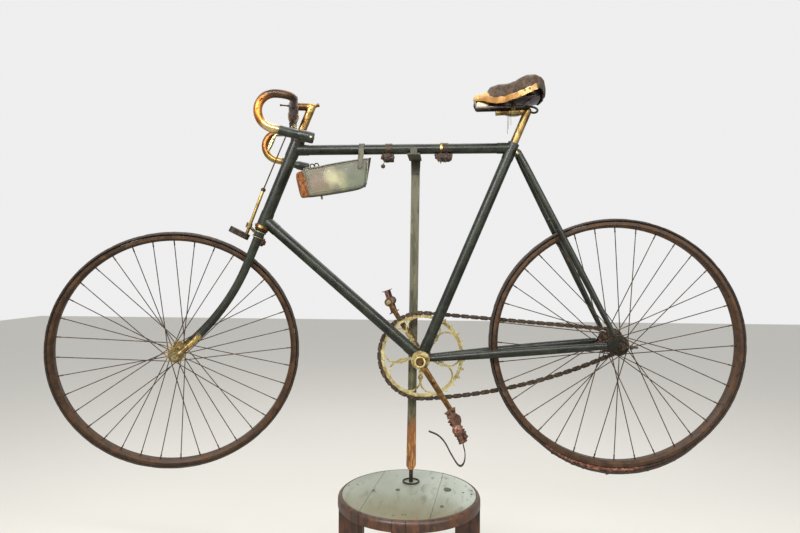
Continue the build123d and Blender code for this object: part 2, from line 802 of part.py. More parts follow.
cog_root = cog_pitch_radius - tooth_root
cog_start = degrees(slack_meet) + (ceil(ring_wrap + slack - tooth_place) + tooth_place - ring_wrap - slack) * 360 / cog_teeth
with BuildPart() as rear_cog:
    with BuildSketch(Plane(origin=at(rear_hub_x, chain_line - tooth_thickness / 2, rear_hub_z), x_dir=(1, 0, 0), z_dir=(0, -1, 0))):
        Circle(cog_root)
        with PolarLocations(cog_root + (tooth_root + tooth_rise) / 2 - 0.6, cog_teeth, start_angle=cog_start):
            Trapezoid(9.5, tooth_root + tooth_rise + 1.2, 68, rotation=-90)
    extrude(amount=-tooth_thickness)
    rod(
        at(rear_hub_x, chain_line - tooth_thickness + 0.4, rear_hub_z),
        at(rear_hub_x, chain_line + tooth_thickness, rear_hub_z),
        cog_root - 5.0,
    )
    bore(at(rear_hub_x, 0, rear_hub_z), at(rear_hub_x, 100, rear_hub_z), cog_seat_radius + running_clearance)
rear_cog.part.label = "rear_cog"
export_step(rear_cog.part, "parts/rear_cog.step")

# Cranks and pedals
with BuildPart() as crank_axle:
    rod(at(0, -crank_inset - crank_thickness, 0), at(0, crank_inset + crank_thickness, 0), crank_axle_radius)
crank_axle.part.label = "crank_axle"
export_step(crank_axle.part, "parts/crank_axle.step")


pedal_start = crank_inset + crank_thickness + pedal_inset


def pedal_centre(side, y):
    turn = radians(crank_angle if side > 0 else crank_angle + 180)
    return at(crank_length * cos(turn), y, crank_length * sin(turn))


for label, side in (("crank_left", -1), ("crank_right", 1)):
    turn = radians(crank_angle if side > 0 else crank_angle + 180)
    eye_x, eye_z = crank_length * cos(turn), crank_length * sin(turn)
    inner = chain_line + tooth_thickness / 2 if side > 0 else shell_width / 2 + cup_flange_thickness + 2.0
    with BuildPart() as crank:
        with BuildSketch(across(side * crank_inset)):
            Circle(crank_root_width / 2)
            with Locations((eye_x * 0.93, eye_z * 0.93)):
                Circle(crank_tip_width / 2)
            make_hull()
        extrude(amount=-side * crank_thickness)
        fillet(crank.faces().sort_by(Axis.Y)[0].edges() + crank.faces().sort_by(Axis.Y)[-1].edges(), 4.0)
        with BuildSketch(across(side * inner)):
            Circle(crank_boss_radius)
        extrude(amount=-side * (crank_inset + crank_thickness - inner))
        with BuildSketch(across(side * crank_inset)):
            with Locations((eye_x, eye_z)):
                Circle(crank_eye_radius)
        extrude(amount=-side * crank_thickness)
        bore(at(0, -200, 0), at(0, 200, 0), crank_axle_radius)
        # The pedal's spindle, screwed into the eye, with its shoulder and end nut
        rod(
            pedal_centre(side, side * crank_inset),
            pedal_centre(side, side * (pedal_start + pedal_length + 5.0)),
            pedal_spindle_radius,
        )
        rod(
            pedal_centre(side, side * (crank_inset + crank_thickness)),
            pedal_centre(side, side * (crank_inset + crank_thickness + 3.0)),
            8.0,
        )
        rod(
            pedal_centre(side, side * (pedal_start + pedal_length + 0.3)),
            pedal_centre(side, side * (pedal_start + pedal_length + 5.0)),
            7.0,
        )
        # Tapered cotter through the boss
        rod(
            at(-sin(turn) * 18, side * (crank_inset + 3), cos(turn) * 18),
            at(-sin(turn) * 8.2, side * (crank_inset + 3), cos(turn) * 8.2),
            3.5,
        )
    crank.part.label = label
    export_step(crank.part, "parts/" + label + ".step")

pedal_left_angle = -65.0
pedal_right_angle = 109.0
serration = 4.0
teeth_per_plate = 7


def pedal_cage(side, angle):
    centre = pedal_centre(side, 0)
    forward = Vector(cos(radians(angle)), 0, sin(radians(angle)))
    up = Vector(-sin(radians(angle)), 0, cos(radians(angle)))
    inner = centre + lateral * (side * (pedal_start))
    outer = centre + lateral * (side * (pedal_start + pedal_length))
    half = pedal_cage_length / 2
    rod(inner, outer, pedal_barrel_radius)
    for plate_y in (pedal_start, pedal_start + pedal_length - pedal_plate_gauge):
        end_plane = Plane(origin=centre + lateral * (side * plate_y), x_dir=forward, z_dir=lateral * side)
        with BuildSketch(end_plane) as end_plate:
            Rectangle(pedal_cage_length, 9.0)
            Circle(pedal_barrel_radius + 3.0)
        extrude(end_plate.sketch, amount=pedal_plate_gauge)
    spacing = pedal_length / teeth_per_plate
    for end in (-1, 1):
        tread = Plane(origin=inner + forward * (end * half), x_dir=lateral * side, z_dir=forward * end)
        with BuildSketch(tread) as tread_plate:
            Rectangle(pedal_length, pedal_plate_height - 2 * serration, align=(Align.MIN, Align.CENTER))
            for number in range(teeth_per_plate):
                with BuildLine():
                    Polyline(
                        (number * spacing, -pedal_plate_height / 2 + serration),
                        (number * spacing + spacing / 2, -pedal_plate_height / 2),
                        (number * spacing + spacing, -pedal_plate_height / 2 + serration),
                        (number * spacing + spacing, pedal_plate_height / 2 - serration),
                        (number * spacing + spacing / 2, pedal_plate_height / 2),
                        (number * spacing, pedal_plate_height / 2 - serration),
                        close=True,
                    )
                make_face()
        extrude(tread_plate.sketch, amount=-pedal_plate_gauge)
    bore(centre - lateral * 300, centre + lateral * 300, pedal_spindle_radius + running_clearance)


with BuildPart() as pedal_left_cage:
    pedal_cage(-1, pedal_left_angle)
pedal_left_cage.part.label = "pedal_left_cage"
export_step(pedal_left_cage.part, "parts/pedal_left_cage.step")

with BuildPart() as pedal_right_cage:
    pedal_cage(1, pedal_right_angle)
pedal_right_cage.part.label = "pedal_right_cage"
export_step(pedal_right_cage.part, "parts/pedal_right_cage.step")

# Left toe clip: one bent strip, riveted to the lower tread plate
pedal_forward = Vector(cos(radians(pedal_left_angle)), 0, sin(radians(pedal_left_angle)))
clip_y = pedal_start + pedal_length / 2
clip_face = pedal_cage_length / 2 + clip_gauge / 2 + 0.2
with BuildPart() as toe_clip_left:
    with BuildSketch(
        Plane(
            origin=pedal_centre(-1, -clip_y + clip_width / 2),
            x_dir=pedal_forward,
            z_dir=(0, -1, 0),
        )
    ):
        with BuildLine():
            FilletPolyline(
                (clip_face, 8),
                (clip_face, 1),
                (clip_face + 50, -1),
                (clip_face + 60, -20),
                (clip_face + 42, -34),
                (clip_face - 20, -42),
                (clip_face - 46, -60),
                radius=(3.0, 12.0, 9.0, 14.0, 14.0),
            )
        trace(line_width=clip_gauge)
    extrude(amount=clip_width)
toe_clip_left.part.label = "toe_clip_left"
export_step(toe_clip_left.part, "parts/toe_clip_left.step")

# Bearings of the head
with BuildPart() as head_cups:
    rod(head_foot - head_dir * cup_height, head_foot - head_dir * mitre_gap, cup_radius)
    rod(head_top + head_dir * mitre_gap, head_top + head_dir * cup_height, cup_radius)
    bore(head_foot - head_dir * 20, head_top + head_dir * 20, steerer_radius + running_clearance)
head_cups.part.label = "head_cups"
export_step(head_cups.part, "parts/head_cups.step")


# Steering, made straight ahead. The bar has slipped a little in the steerer
def steered(piece, turn=steer_rest):
    piece.part = piece.part.rotate(steering, turn)


head_gap = 0.3
crown_thickness = 18.0
crown_top = head_foot - head_dir * (cup_height + head_gap)
crown_foot = crown_top - head_dir * crown_thickness
blade_spread_crown = 35.0
blade_spread_tip = front_locknut_width / 2 + 3.5
blade_depth = 24.0
blade_breadth = 17.0
blade_tip_radius = 6.5
blade_straight = 78.0
lock_height = 9.0
crown_layers = ((0.8, 0.0, crown_thickness), (2.5, 0.0, 3.0), (2.5, crown_thickness - 3.0, crown_thickness))
steerer_top = head_top + head_dir * (cup_height + head_gap + lock_height)
crown_plane = Plane(origin=crown_foot, x_dir=lateral, z_dir=head_dir)
blade_splay = asin((blade_spread_tip - blade_spread_crown) / (crown_foot - front_hub).length)


def blade_plane(side):
    return Plane(
        origin=crown_foot + lateral * (side * blade_spread_crown),
        x_dir=(1, 0, 0),
        z_dir=(0, -cos(blade_splay), -side * sin(blade_splay)),
    )


with BuildPart() as fork_crown:
    for grow, low, high in crown_layers:
        with BuildSketch(crown_plane.offset(low)):
            with Locations((-blade_spread_crown, 0), (blade_spread_crown, 0)):
                Ellipse(blade_breadth / 2 + grow, blade_depth / 2 + grow)
            make_hull()
        extrude(amount=high - low)
    rod(crown_top - head_dir * 5.0, steerer_top, steerer_radius)
    bore(crown_foot + head_dir * 6.0, steerer_top + head_dir, steerer_radius - steerer_wall)
steered(fork_crown)
fork_crown.part.label = "fork_crown"
export_step(fork_crown.part, "parts/fork_crown.step")

hub_from_crown = front_hub - crown_foot
blade_tips = []
with BuildPart() as fork_blades:
    for side in (-1, 1):
        tip_x = hub_from_crown.X + 19.0
        tip_z = hub_from_crown.Z / cos(blade_splay) + 13.0
        with BuildLine(blade_plane(side)) as blade_path:
            bend = Line((-0.3, -0.7), (-cos(radians(head_angle)) * blade_straight, -sin(radians(head_angle)) * blade_straight))
            TangentArc(bend @ 1, (tip_x, tip_z), tangent=bend % 1)
        with BuildSketch(Plane(origin=blade_path.line @ 0, x_dir=lateral, z_dir=blade_path.line % 0)):
            Ellipse(blade_breadth / 2, blade_depth / 2)
        with BuildSketch(Plane(origin=blade_path.line @ 1, x_dir=lateral, z_dir=blade_path.line % 1)):
            Ellipse(blade_tip_radius, blade_tip_radius + 0.5)
        sweep(path=blade_path.line, multisection=True)
        blade_tips.append((side, blade_path.line @ 1, blade_path.line % 1))
steered(fork_blades)
fork_blades.part.label = "fork_blades"
export_step(fork_blades.part, "parts/fork_blades.step")

# Fork ends: an eye for the axle on a socket brazed to each blade's tip
with BuildPart() as fork_ends:
    for side, tip, tip_dir in blade_tips:
        rod(
            front_hub + lateral * (side * front_locknut_width / 2),
            front_hub + lateral * (side * (front_locknut_width / 2 + 5.0)),
            12.0,
        )
        rod(tip, tip + tip_dir * 12.0, blade_tip_radius)
    # The sockets are dressed flush inside, clear of the hub
    bore(front_hub - lateral * (front_locknut_width / 2), front_hub + lateral * (front_locknut_width / 2), 30.0)
    bore(front_hub - lateral * 100, front_hub + lateral * 100, front_axle_radius + 0.1)
steered(fork_ends)
fork_ends.part.label = "fork_ends"
export_step(fork_ends.part, "parts/fork_ends.step")

with BuildPart() as front_axle:
    tip_y = front_locknut_width / 2 + 5.0 + 14.0
    rod(front_hub - lateral * tip_y, front_hub + lateral * tip_y, front_axle_radius)
    for side in (-1, 1):
        inner = front_locknut_width / 2
        rod(front_hub + lateral * (side * (inner - front_cone_length)), front_hub + lateral * (side * inner), 7.0)
        outer = front_hub + lateral * (side * (inner + 5.0))
        rod(outer, outer + lateral * (side * 1.6), 10.0)
        with BuildSketch(Plane(origin=outer + lateral * (side * 1.6), x_dir=(1, 0, 0), z_dir=lateral * side)):
            RegularPolygon(8.0, 6)
        extrude(amount=7.0)
steered(front_axle)
front_axle.part.label = "front_axle"
export_step(front_axle.part, "parts/front_axle.step")

for piece, label in ((front_hub_spokes, "front_hub_spokes"), (front_rim, "front_rim"), (front_tyre, "front_tyre")):
    steered(piece)
    piece.part.label = label
    export_step(piece.part, "parts/" + label + ".step")

with BuildPart() as head_locknut:
    with BuildSketch(Plane(origin=head_top + head_dir * (cup_height + head_gap), x_dir=lateral, z_dir=head_dir)):
        RegularPolygon(18.0, 6)
        Circle(steerer_radius, mode=Mode.SUBTRACT)
    extrude(amount=lock_height)
steered(head_locknut)
head_locknut.part.label = "head_locknut"
export_step(head_locknut.part, "parts/head_locknut.step")

# Stem: quill in the steerer and an arm forward and down to the bar's clamp
bar_centre = at(bar_centre_x, 0, bar_centre_z)
quill_top = head_point(quill_top_z)
stem_clamp_length = 34.0
stem_clamp_radius = bar_radius + 4.5
bar_lateral = Vector(0, cos(radians(bar_tilt)), -sin(radians(bar_tilt)))
with BuildPart() as stem:
    rod(head_top - head_dir * 60, quill_top, quill_radius)
    with Locations(quill_top):
        Sphere(quill_radius)
    stem_elbow = at(stem_elbow_x, 0, quill_top_z)
    rod(quill_top, stem_elbow, stem_arm_radius)
    with Locations(stem_elbow):
        Sphere(stem_arm_radius)
    rod(stem_elbow, bar_centre, stem_arm_radius)
    rod(
        bar_centre - bar_lateral * (stem_clamp_length / 2),
        bar_centre + bar_lateral * (stem_clamp_length / 2),
        stem_clamp_radius,
    )
    bore(bar_centre - bar_lateral * 50, bar_centre + bar_lateral * 50, bar_radius)
steered(stem, steer_rest - bar_slip)
stem.part.label = "stem"
export_step(stem.part, "parts/stem.step")

# Drop bar: straight middle, a corner forward and a hook down and back to the grip
bar_tilt_axis = Axis(bar_centre, (1, 0, 0))
hook_end_turn = 270.0 - grip_slope
grip_dir = Vector(cos(radians(grip_slope)), 0, -sin(radians(grip_slope)))


def bar_point(side, forward, sideways, up):
    return bar_centre + Vector(-forward, side * sideways, up)


def hook_point(side, turn):
    return bar_point(
        side,
        bar_corner_radius - bar_hook_radius * cos(radians(turn)),
        bar_half_width,
        -bar_hook_radius + bar_hook_radius * sin(radians(turn)),
    )


with BuildPart() as handlebar:
    for side in (-1, 1):
        with BuildLine() as bar_path:
            middle = Line(bar_centre, bar_point(side, 0, bar_half_width - bar_corner_radius, 0))
            corner = ThreePointArc(
                middle @ 1,
                bar_point(
                    side,
                    bar_corner_radius * (1 - cos(pi / 4)),
                    bar_half_width - bar_corner_radius * (1 - sin(pi / 4)),
                    0,
                ),
                bar_point(side, bar_corner_radius, bar_half_width, 0),
            )
            hook = ThreePointArc(corner @ 1, hook_point(side, 178), hook_point(side, hook_end_turn))
            Line(hook @ 1, (hook @ 1) + grip_dir * (grip_length + 2.0))
        with BuildSketch(Plane(origin=bar_centre, x_dir=(1, 0, 0), z_dir=lateral * side)):
            Circle(bar_radius)
            Circle(bar_radius - 1.5, mode=Mode.SUBTRACT)
        sweep(path=bar_path.line)
handlebar.part = handlebar.part.rotate(bar_tilt_axis, -bar_tilt)
steered(handlebar, steer_rest - bar_slip)
handlebar.part.label = "handlebar"
export_step(handlebar.part, "parts/handlebar.step")

with BuildPart() as grips:
    for side in (-1, 1):
        grip_start = hook_point(side, hook_end_turn) + grip_dir * 2.0
        with BuildSketch(Plane(origin=grip_start, x_dir=lateral, z_dir=lateral.cross(grip_dir))):
            with BuildLine():
                Polyline(
                    (bar_radius, 0),
                    (bar_radius + 1.2, 0),
                    (bar_radius + 1.8, 8),
                    (bar_radius + 1.8, grip_length * 0.5),
                    (grip_radius, grip_length - 5),
                    (grip_radius, grip_length + 1),
                    (grip_radius - 3.0, grip_length + 4),
                    (0, grip_length + 4),
                    (0, grip_length),
                    (bar_radius, grip_length),
                    close=True,
                )
            make_face()
        revolve(axis=Axis(grip_start, grip_dir))
grips.part = grips.part.rotate(bar_tilt_axis, -bar_tilt)
steered(grips, steer_rest - bar_slip)
grips.part.label = "grips"
export_step(grips.part, "parts/grips.step")

# Plunger brake: a lever along the right half of the bar pushes a rod down to the shoe
lever_rod_radius = 4.0
lever_y = bar_half_width - 26.0
lever_drop = stem_clamp_radius + 6.3
with BuildPart() as brake_lever:
    rod(bar_point(1, 0, 8.8, -lever_drop), bar_point(1, 0, lever_y, -lever_drop), lever_rod_radius)
    for ring_y in (34.0, lever_y - 34.0):
        rod(bar_point(1, 0, ring_y, 0), bar_point(1, 0, ring_y + 7.0, 0), bar_radius + 2.5)
        rod(bar_point(1, 0, ring_y, -lever_drop), bar_point(1, 0, ring_y + 7.0, -lever_drop), lever_rod_radius + 2.5)
        with BuildSketch(Plane(origin=bar_point(1, 0, ring_y, 0), x_dir=(1, 0, 0), z_dir=lateral)):
            with Locations((0, lever_drop / 2)):
                Rectangle(6.0, lever_drop)
        extrude(amount=7.0)
    with BuildSketch(Plane(origin=bar_point(1, 0, lever_y - 8.0, 0), x_dir=(1, 0, 0), z_dir=lateral)):
        with BuildLine():
            FilletPolyline((4.0, lever_drop - 2), (-50.0, 9.0), (-72.0, 58.0), radius=12.0)
        trace(line_width=3.0)
    extrude(amount=13.0)
    bore(bar_point(1, 0, 0, 0), bar_point(1, 0, bar_half_width, 0), bar_radius)
brake_lever.part = brake_lever.part.rotate(bar_tilt_axis, -bar_tilt)
steered(brake_lever, steer_rest - bar_slip)
brake_lever.part.label = "brake_lever"
export_step(brake_lever.part, "parts/brake_lever.step")

brake_rod_radius = 3.0
plunger_radius = 4.4
rod_top_x = -351.5
rod_top_z = 621.0
shoe_thickness = 15.0
shoe_turn = 62.5
shoe_gap = 30.0
shoe_set = 18.5
shoe_out = Vector(cos(radians(shoe_turn)), 0, sin(radians(shoe_turn)))
shoe_dir = lateral.cross(shoe_out)
shoe_centre = front_hub + shoe_out * (wheel_radius + shoe_gap + shoe_thickness / 2)
rod_joint = at(-434.0, 0, 445.0)
rod_foot = shoe_centre + shoe_dir * shoe_set
rod_top = at(rod_top_x, 0, rod_top_z)
with BuildPart() as brake_rod:
    rod(rod_joint + Vector(5.0, 0, 1.0), rod_top, brake_rod_radius)
    rod(rod_foot, rod_joint, plunger_radius)
    with Locations(rod_joint):
        Sphere(8.0)
    rod(rod_top - Vector(0, 7, 0), rod_top + Vector(0, 7, 0), 5.5)
steered(brake_rod)
brake_rod.part.label = "brake_rod"
export_step(brake_rod.part, "parts/brake_rod.step")

# Guide for the rod, bolted through the crown
with BuildPart() as brake_guide:
    ahead_dir = Vector(-sin(radians(head_angle)), 0, cos(radians(head_angle)))
    guide_from = crown_foot + head_dir * (crown_thickness / 2) + ahead_dir * (blade_depth / 2)
    guide_to = rod_joint + (rod_foot - rod_joint) * 0.77
    rod(guide_from, guide_to, 4.0)
    with BuildSketch(crown_plane) as crown_face:
        with Locations((0, blade_depth / 2 + crown_layers[0][0] + mitre_gap - 25.0)):
            Rectangle(50.0, 50.0)
    extrude(crown_face.sketch, amount=crown_thickness, mode=Mode.SUBTRACT)
    rod(guide_to - (rod_joint - rod_foot).normalized() * 7, guide_to + (rod_joint - rod_foot).normalized() * 7, 8.0)
    rod(crown_foot - ahead_dir * 4.0, crown_foot - ahead_dir * 4.0 - head_dir * 15.0, 7.0)
    bore(rod_foot, rod_joint, plunger_radius)
steered(brake_guide)
brake_guide.part.label = "brake_guide"
export_step(brake_guide.part, "parts/brake_guide.step")

shoe_length = 56.0
shoe_width = 27.0
with BuildPart() as brake_shoe:
    with BuildSketch(Plane(origin=shoe_centre, x_dir=shoe_dir, z_dir=shoe_out)):
        SlotOverall(shoe_length, shoe_width)
    extrude(amount=shoe_thickness / 2, both=True)
    bore(rod_foot - (rod_joint - rod_foot).normalized() * 40, rod_joint, plunger_radius)
steered(brake_shoe)
brake_shoe.part.label = "brake_shoe"
export_step(brake_shoe.part, "parts/brake_shoe.step")

# Seat post and saddle
seat_corner = seat_point(seat_post_arm_z)
seat_arm_front = at(seat_arm_front_x, 0, seat_post_arm_z - 2.5)
with BuildPart() as seat_post:
    rod(seat_top - seat_dir * seat_post_insert, seat_corner, seat_post_radius)
    with Locations(seat_corner):
        Sphere(seat_post_radius)
    rod(seat_corner, seat_arm_front, seat_arm_radius)
seat_post.part.label = "seat_post"
export_step(seat_post.part, "parts/seat_post.step")

rail_z = 656.0
rail_spread = 17.0
clip_x = 236.0
with BuildPart() as saddle_clip:
    arm_dir = (seat_arm_front - seat_corner).normalized()
    clip_middle = seat_corner + arm_dir * (seat_corner.X - bracket_x - clip_x)
    rod(clip_middle - arm_dir * 11, clip_middle + arm_dir * 11, seat_arm_radius + 3.0)
    rod(at(clip_x, -rail_spread - 6, rail_z), at(clip_x, rail_spread + 6, rail_z), 8.0)
    bore(seat_corner, seat_arm_front + arm_dir * 20, seat_arm_radius)
    for side in (-1, 1):
        bore(at(clip_x - 40, side * rail_spread, rail_z), at(clip_x + 40, side * rail_spread, rail_z), saddle_wire_radius)
saddle_clip.part.label = "saddle_clip"
export_step(saddle_clip.part, "parts/saddle_clip.step")

with BuildPart() as saddle_frame:
    for side in (-1, 1):
        with BuildLine() as rail:
            FilletPolyline(
                at(151, side * 5, 676),
                at(137, side * 9, 674),
                at(142, side * 13, rail_z - 2.0),
                at(185, side * rail_spread, rail_z),
                at(260, side * rail_spread, rail_z),
                at(292, side * 46, 679),
                radius=5.0,
            )
        with BuildSketch(Plane(origin=rail.line @ 0, z_dir=rail.line % 0)):
            Circle(saddle_wire_radius)
        sweep(path=rail.line)
    # Cantle plate under the rear of the leather
    with BuildSketch(Plane(origin=at(0, 0, 676))):
        with BuildLine():
            ThreePointArc((275, -70), (302, 0), (275, 70))
        trace(line_width=5.0)
    extrude(amount=13.2)
saddle_frame.part.label = "saddle_frame"
export_step(saddle_frame.part, "parts/saddle_frame.step")

# Leather by its share of the length: width, lower edge and top. Below it is hollow
saddle_sections = (
    (0.0, 24.0, 679.5, 691.0),
    (0.11, 40.0, 679.5, 697.0),
    (0.24, 60.0, 666.0, 706.0),
    (0.4, 84.0, 660.5, 712.0),
    (0.57, 120.0, 664.0, 715.0),
    (0.72, 156.0, 669.0, 722.0),
    (0.84, 164.0, 676.0, 725.0),
    (0.93, 140.0, 674.0, 715.0),
    (1.0, 96.0, 682.0, 702.0),
)
hollow_sections = ((0.15, 36.0, 680.0), (0.4, 74.0, 682.0), (0.72, 146.0, 689.4), (0.84, 154.0, 689.4), (0.97, 104.0, 689.4))
with BuildPart() as saddle_leather:
    for share, width, low, high in saddle_sections:
        middle = at(saddle_nose_x + share * saddle_length, 0, (low + high) / 2)
        with BuildSketch(Plane(origin=middle, x_dir=(0, 1, 0), z_dir=(1, 0, 0))):
            RectangleRounded(width, high - low, (high - low) * 0.3)
    loft(ruled=True)
    hollow = []
    for share, width, ceiling in hollow_sections:
        middle = at(saddle_nose_x + share * saddle_length, 0, ceiling - 30.0)
        with BuildSketch(Plane(origin=middle, x_dir=(0, 1, 0), z_dir=(1, 0, 0))) as section:
            RectangleRounded(width, 60.0, 3.0)
        hollow.append(section.sketch)
    loft(hollow, ruled=True, mode=Mode.SUBTRACT)
saddle_leather.part.label = "saddle_leather"
export_step(saddle_leather.part, "parts/saddle_leather.step")

# Tool bag and fittings of the top tube
bag_length = 190.0
bag_height = 72.0
bag_width = 50.0
bag_yaw = 29.0
bag_pitch = 13.0
bag_rear_x = -138.0
bag_rear_y = -6.0
bag_rear_z = 527.0
strap_x = -160.0
strap_width = 16.0
strap_gauge = 2.4
strap_hang = 10.3
bag_dir = Vector(
    -cos(radians(bag_yaw)) * cos(radians(bag_pitch)),
    -sin(radians(bag_yaw)) * cos(radians(bag_pitch)),
    -sin(radians(bag_pitch)),
)
bag_side = Vector(-sin(radians(bag_yaw)), cos(radians(bag_yaw)), 0)
with BuildPart() as tool_bag:
    with BuildSketch(Plane(origin=at(bag_rear_x, bag_rear_y, bag_rear_z), x_dir=bag_side, z_dir=bag_dir)):
        with Locations((bag_width / 2, bag_height / 2)):
            RectangleRounded(bag_width, bag_height, 9.0)
    extrude(amount=bag_length)
tool_bag.part.label = "tool_bag"
export_step(tool_bag.part, "parts/tool_bag.step")

with BuildPart() as bag_strap:
    with BuildSketch(Plane(origin=at(strap_x - strap_width / 2, 0, seat_lug_z), x_dir=(0, 1, 0), z_dir=(1, 0, 0))):
        with Locations((0, -strap_hang / 2)):
            RectangleRounded(2 * top_tube_radius + 2 * strap_gauge, 2 * top_tube_radius + 2 * strap_gauge + strap_hang, top_tube_radius)
            RectangleRounded(2 * top_tube_radius, 2 * top_tube_radius + strap_hang, top_tube_radius - 0.5, mode=Mode.SUBTRACT)
    extrude(amount=strap_width)
bag_strap.part.label = "bag_strap"
export_step(bag_strap.part, "parts/bag_strap.step")

# Two spring clips that once held a pump under the top tube
clip_band = 1.6
with BuildPart() as pump_clips:
    for place in (-88.0, 60.0):
        rod(at(place - 9, 0, seat_lug_z), at(place + 9, 0, seat_lug_z), top_tube_radius + clip_band)
        cradle_z = seat_lug_z - top_tube_radius - 11.0
        rod(at(place - 13, 0, cradle_z), at(place + 13, 0, cradle_z), 11.0)
        bore(at(place - 20, 0, cradle_z), at(place + 20, 0, cradle_z), 9.2)
        with BuildSketch(Plane(origin=at(place - 20, 0, cradle_z - 11.0), x_dir=(0, 1, 0), z_dir=(1, 0, 0))):
            Rectangle(12.0, 14.0)
        extrude(amount=40.0, mode=Mode.SUBTRACT)
    bore(at(-120, 0, seat_lug_z), at(120, 0, seat_lug_z), top_tube_radius)
pump_clips.part.label = "pump_clips"
export_step(pump_clips.part, "parts/pump_clips.step")

# Stand
post_dir = Vector(sin(radians(post_lean)), 0, cos(radians(post_lean)))
post_foot = at(post_x - (post_top_z - post_foot_z) / 2 * sin(radians(post_lean)), post_offset, post_foot_z)
post_height = (post_top_z - post_foot_z) / cos(radians(post_lean))
post_stations = (
    (6.5, 0.0),
    (post_foot_width / 2, 11.0),
    (post_width / 2, 165.0),
    (post_width / 2, post_height - 40.0),
    (post_width / 2 + 1.4, post_height),
)
with BuildPart() as stand_post:
    with BuildSketch(Plane(origin=post_foot, x_dir=post_dir.cross(lateral) * -1, z_dir=(0, -1, 0))):
        with BuildLine():
            Polyline(*post_stations, *[(-half, height) for half, height in reversed(post_stations)], close=True)
        make_face()
    extrude(amount=post_thickness / 2, both=True)
stand_post.part.label = "stand_post"
export_step(stand_post.part, "parts/stand_post.step")

cradle_thickness = 4.0
cradle_width = 34.0
with BuildPart() as stand_bracket:
    with BuildSketch(Plane(origin=at(post_x + 4.0, 0, post_top_z - cradle_thickness), x_dir=(1, 0, 0), z_dir=(0, 0, 1))):
        with Locations((0, (post_offset - post_thickness / 2 - top_tube_radius - 5) / 2)):
            Rectangle(cradle_width, post_offset - post_thickness / 2 + top_tube_radius + 5)
    extrude(amount=cradle_thickness)
    with BuildSketch(Plane(origin=at(post_x + 4.0, post_offset - post_thickness / 2, 0), x_dir=(1, 0, 0), z_dir=(0, -1, 0))):
        with Locations((0, post_top_z - 20.0)):
            Rectangle(post_width, 40.0)
    extrude(amount=cradle_thickness)
    for side in (-1, 1):
        with BuildSketch(
            Plane(origin=at(post_x + 4.0 - cradle_width / 2 + 8.0, side * (top_tube_radius + 2.6), post_top_z), x_dir=(1, 0, 0))
        ):
            with Locations((cradle_width / 2 - 8.0, 0)):
                Rectangle(cradle_width - 16.0, 4.0)
        extrude(amount=top_tube_radius)
stand_bracket.part.label = "stand_bracket"
export_step(stand_bracket.part, "parts/stand_bracket.step")

# The post ends in an iron spike in a hole of the stool, with a loose ring round it
spike_radius = 5.5
ring_radius = 22.0
ring_wire = 2.2
spike_foot = at(post_foot.X - bracket_x, post_offset, stool_top_z - stool_thickness + 4.0)
with BuildPart() as stand_spike:
    rod(spike_foot, post_foot - Vector(0, 0, 0.2), spike_radius)
    with BuildSketch(
        Plane(origin=at(post_foot.X - bracket_x, post_offset, stool_top_z + ring_wire + 0.1), x_dir=(1, 0, 0), z_dir=(0, -1, 0))
    ):
        with Locations((ring_radius, 0)):
            Circle(ring_wire)
    revolve(axis=Axis(at(post_foot.X - bracket_x, post_offset, stool_top_z), (0, 0, 1)))
stand_spike.part.label = "stand_spike"
export_step(stand_spike.part, "parts/stand_spike.step")

stool_centre = at(stool_centre_x, stool_centre_y, stool_top_z)
with BuildPart() as stool_top:
    with BuildSketch(Plane(origin=stool_centre - Vector(0, 0, stool_thickness))):
        Circle(stool_radius)
    extrude(amount=stool_thickness)
    fillet(stool_top.edges().sort_by(Axis.Z)[-1], stool_round)
    bore(spike_foot, post_foot, spike_radius + 0.3)
stool_top.part.label = "stool_top"
export_step(stool_top.part, "parts/stool_top.step")

stool_turn = -4.0
leg_height = stool_top_z - stool_thickness - floor_z
with BuildPart() as stool_legs:
    for number in range(4):
        leg_turn = radians(stool_turn + number * 90)
        leg_dir = Vector(cos(leg_turn), sin(leg_turn), 0)
        leg_middle = stool_centre + leg_dir * (stool_radius - stool_leg_width / 2 - 0.5)
        with BuildSketch(Plane(origin=(leg_middle.X, leg_middle.Y, 0), x_dir=leg_dir, z_dir=(0, 0, 1))):
            RectangleRounded(stool_leg_width, stool_leg_thickness, 3.0)
        extrude(amount=leg_height)
stool_legs.part.label = "stool_legs"
export_step(stool_legs.part, "parts/stool_legs.step")
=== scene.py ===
# Antique safety bicycle on a post and a round stool: looks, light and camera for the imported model.
# Places are in millimetres from the bottom bracket's centre, as the bicycle's maker would give them.
import json
import math
import random

import bpy
from mathutils import Matrix, Vector, noise


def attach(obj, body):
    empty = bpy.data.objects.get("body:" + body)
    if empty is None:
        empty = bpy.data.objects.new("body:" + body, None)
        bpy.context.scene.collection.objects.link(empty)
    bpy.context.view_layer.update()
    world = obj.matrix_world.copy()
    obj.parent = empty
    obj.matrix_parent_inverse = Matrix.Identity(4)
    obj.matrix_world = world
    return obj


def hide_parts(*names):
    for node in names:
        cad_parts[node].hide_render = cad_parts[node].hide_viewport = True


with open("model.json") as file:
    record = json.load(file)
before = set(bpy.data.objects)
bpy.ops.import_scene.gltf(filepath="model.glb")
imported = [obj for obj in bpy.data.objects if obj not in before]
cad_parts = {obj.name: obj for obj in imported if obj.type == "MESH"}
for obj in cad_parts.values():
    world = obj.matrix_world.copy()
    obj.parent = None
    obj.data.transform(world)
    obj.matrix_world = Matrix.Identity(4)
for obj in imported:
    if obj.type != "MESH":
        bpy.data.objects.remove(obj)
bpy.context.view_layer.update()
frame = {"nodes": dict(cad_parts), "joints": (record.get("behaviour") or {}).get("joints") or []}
nodes = frame["nodes"]
jointNamed = {joint["name"]: joint for joint in frame["joints"]}
bracket = Vector(jointNamed["crank_turn"]["pos_m"])
steeringFoot = Vector(jointNamed["steering_turn"]["pos_m"])
steeringAxis = Vector(jointNamed["steering_turn"]["axis"])
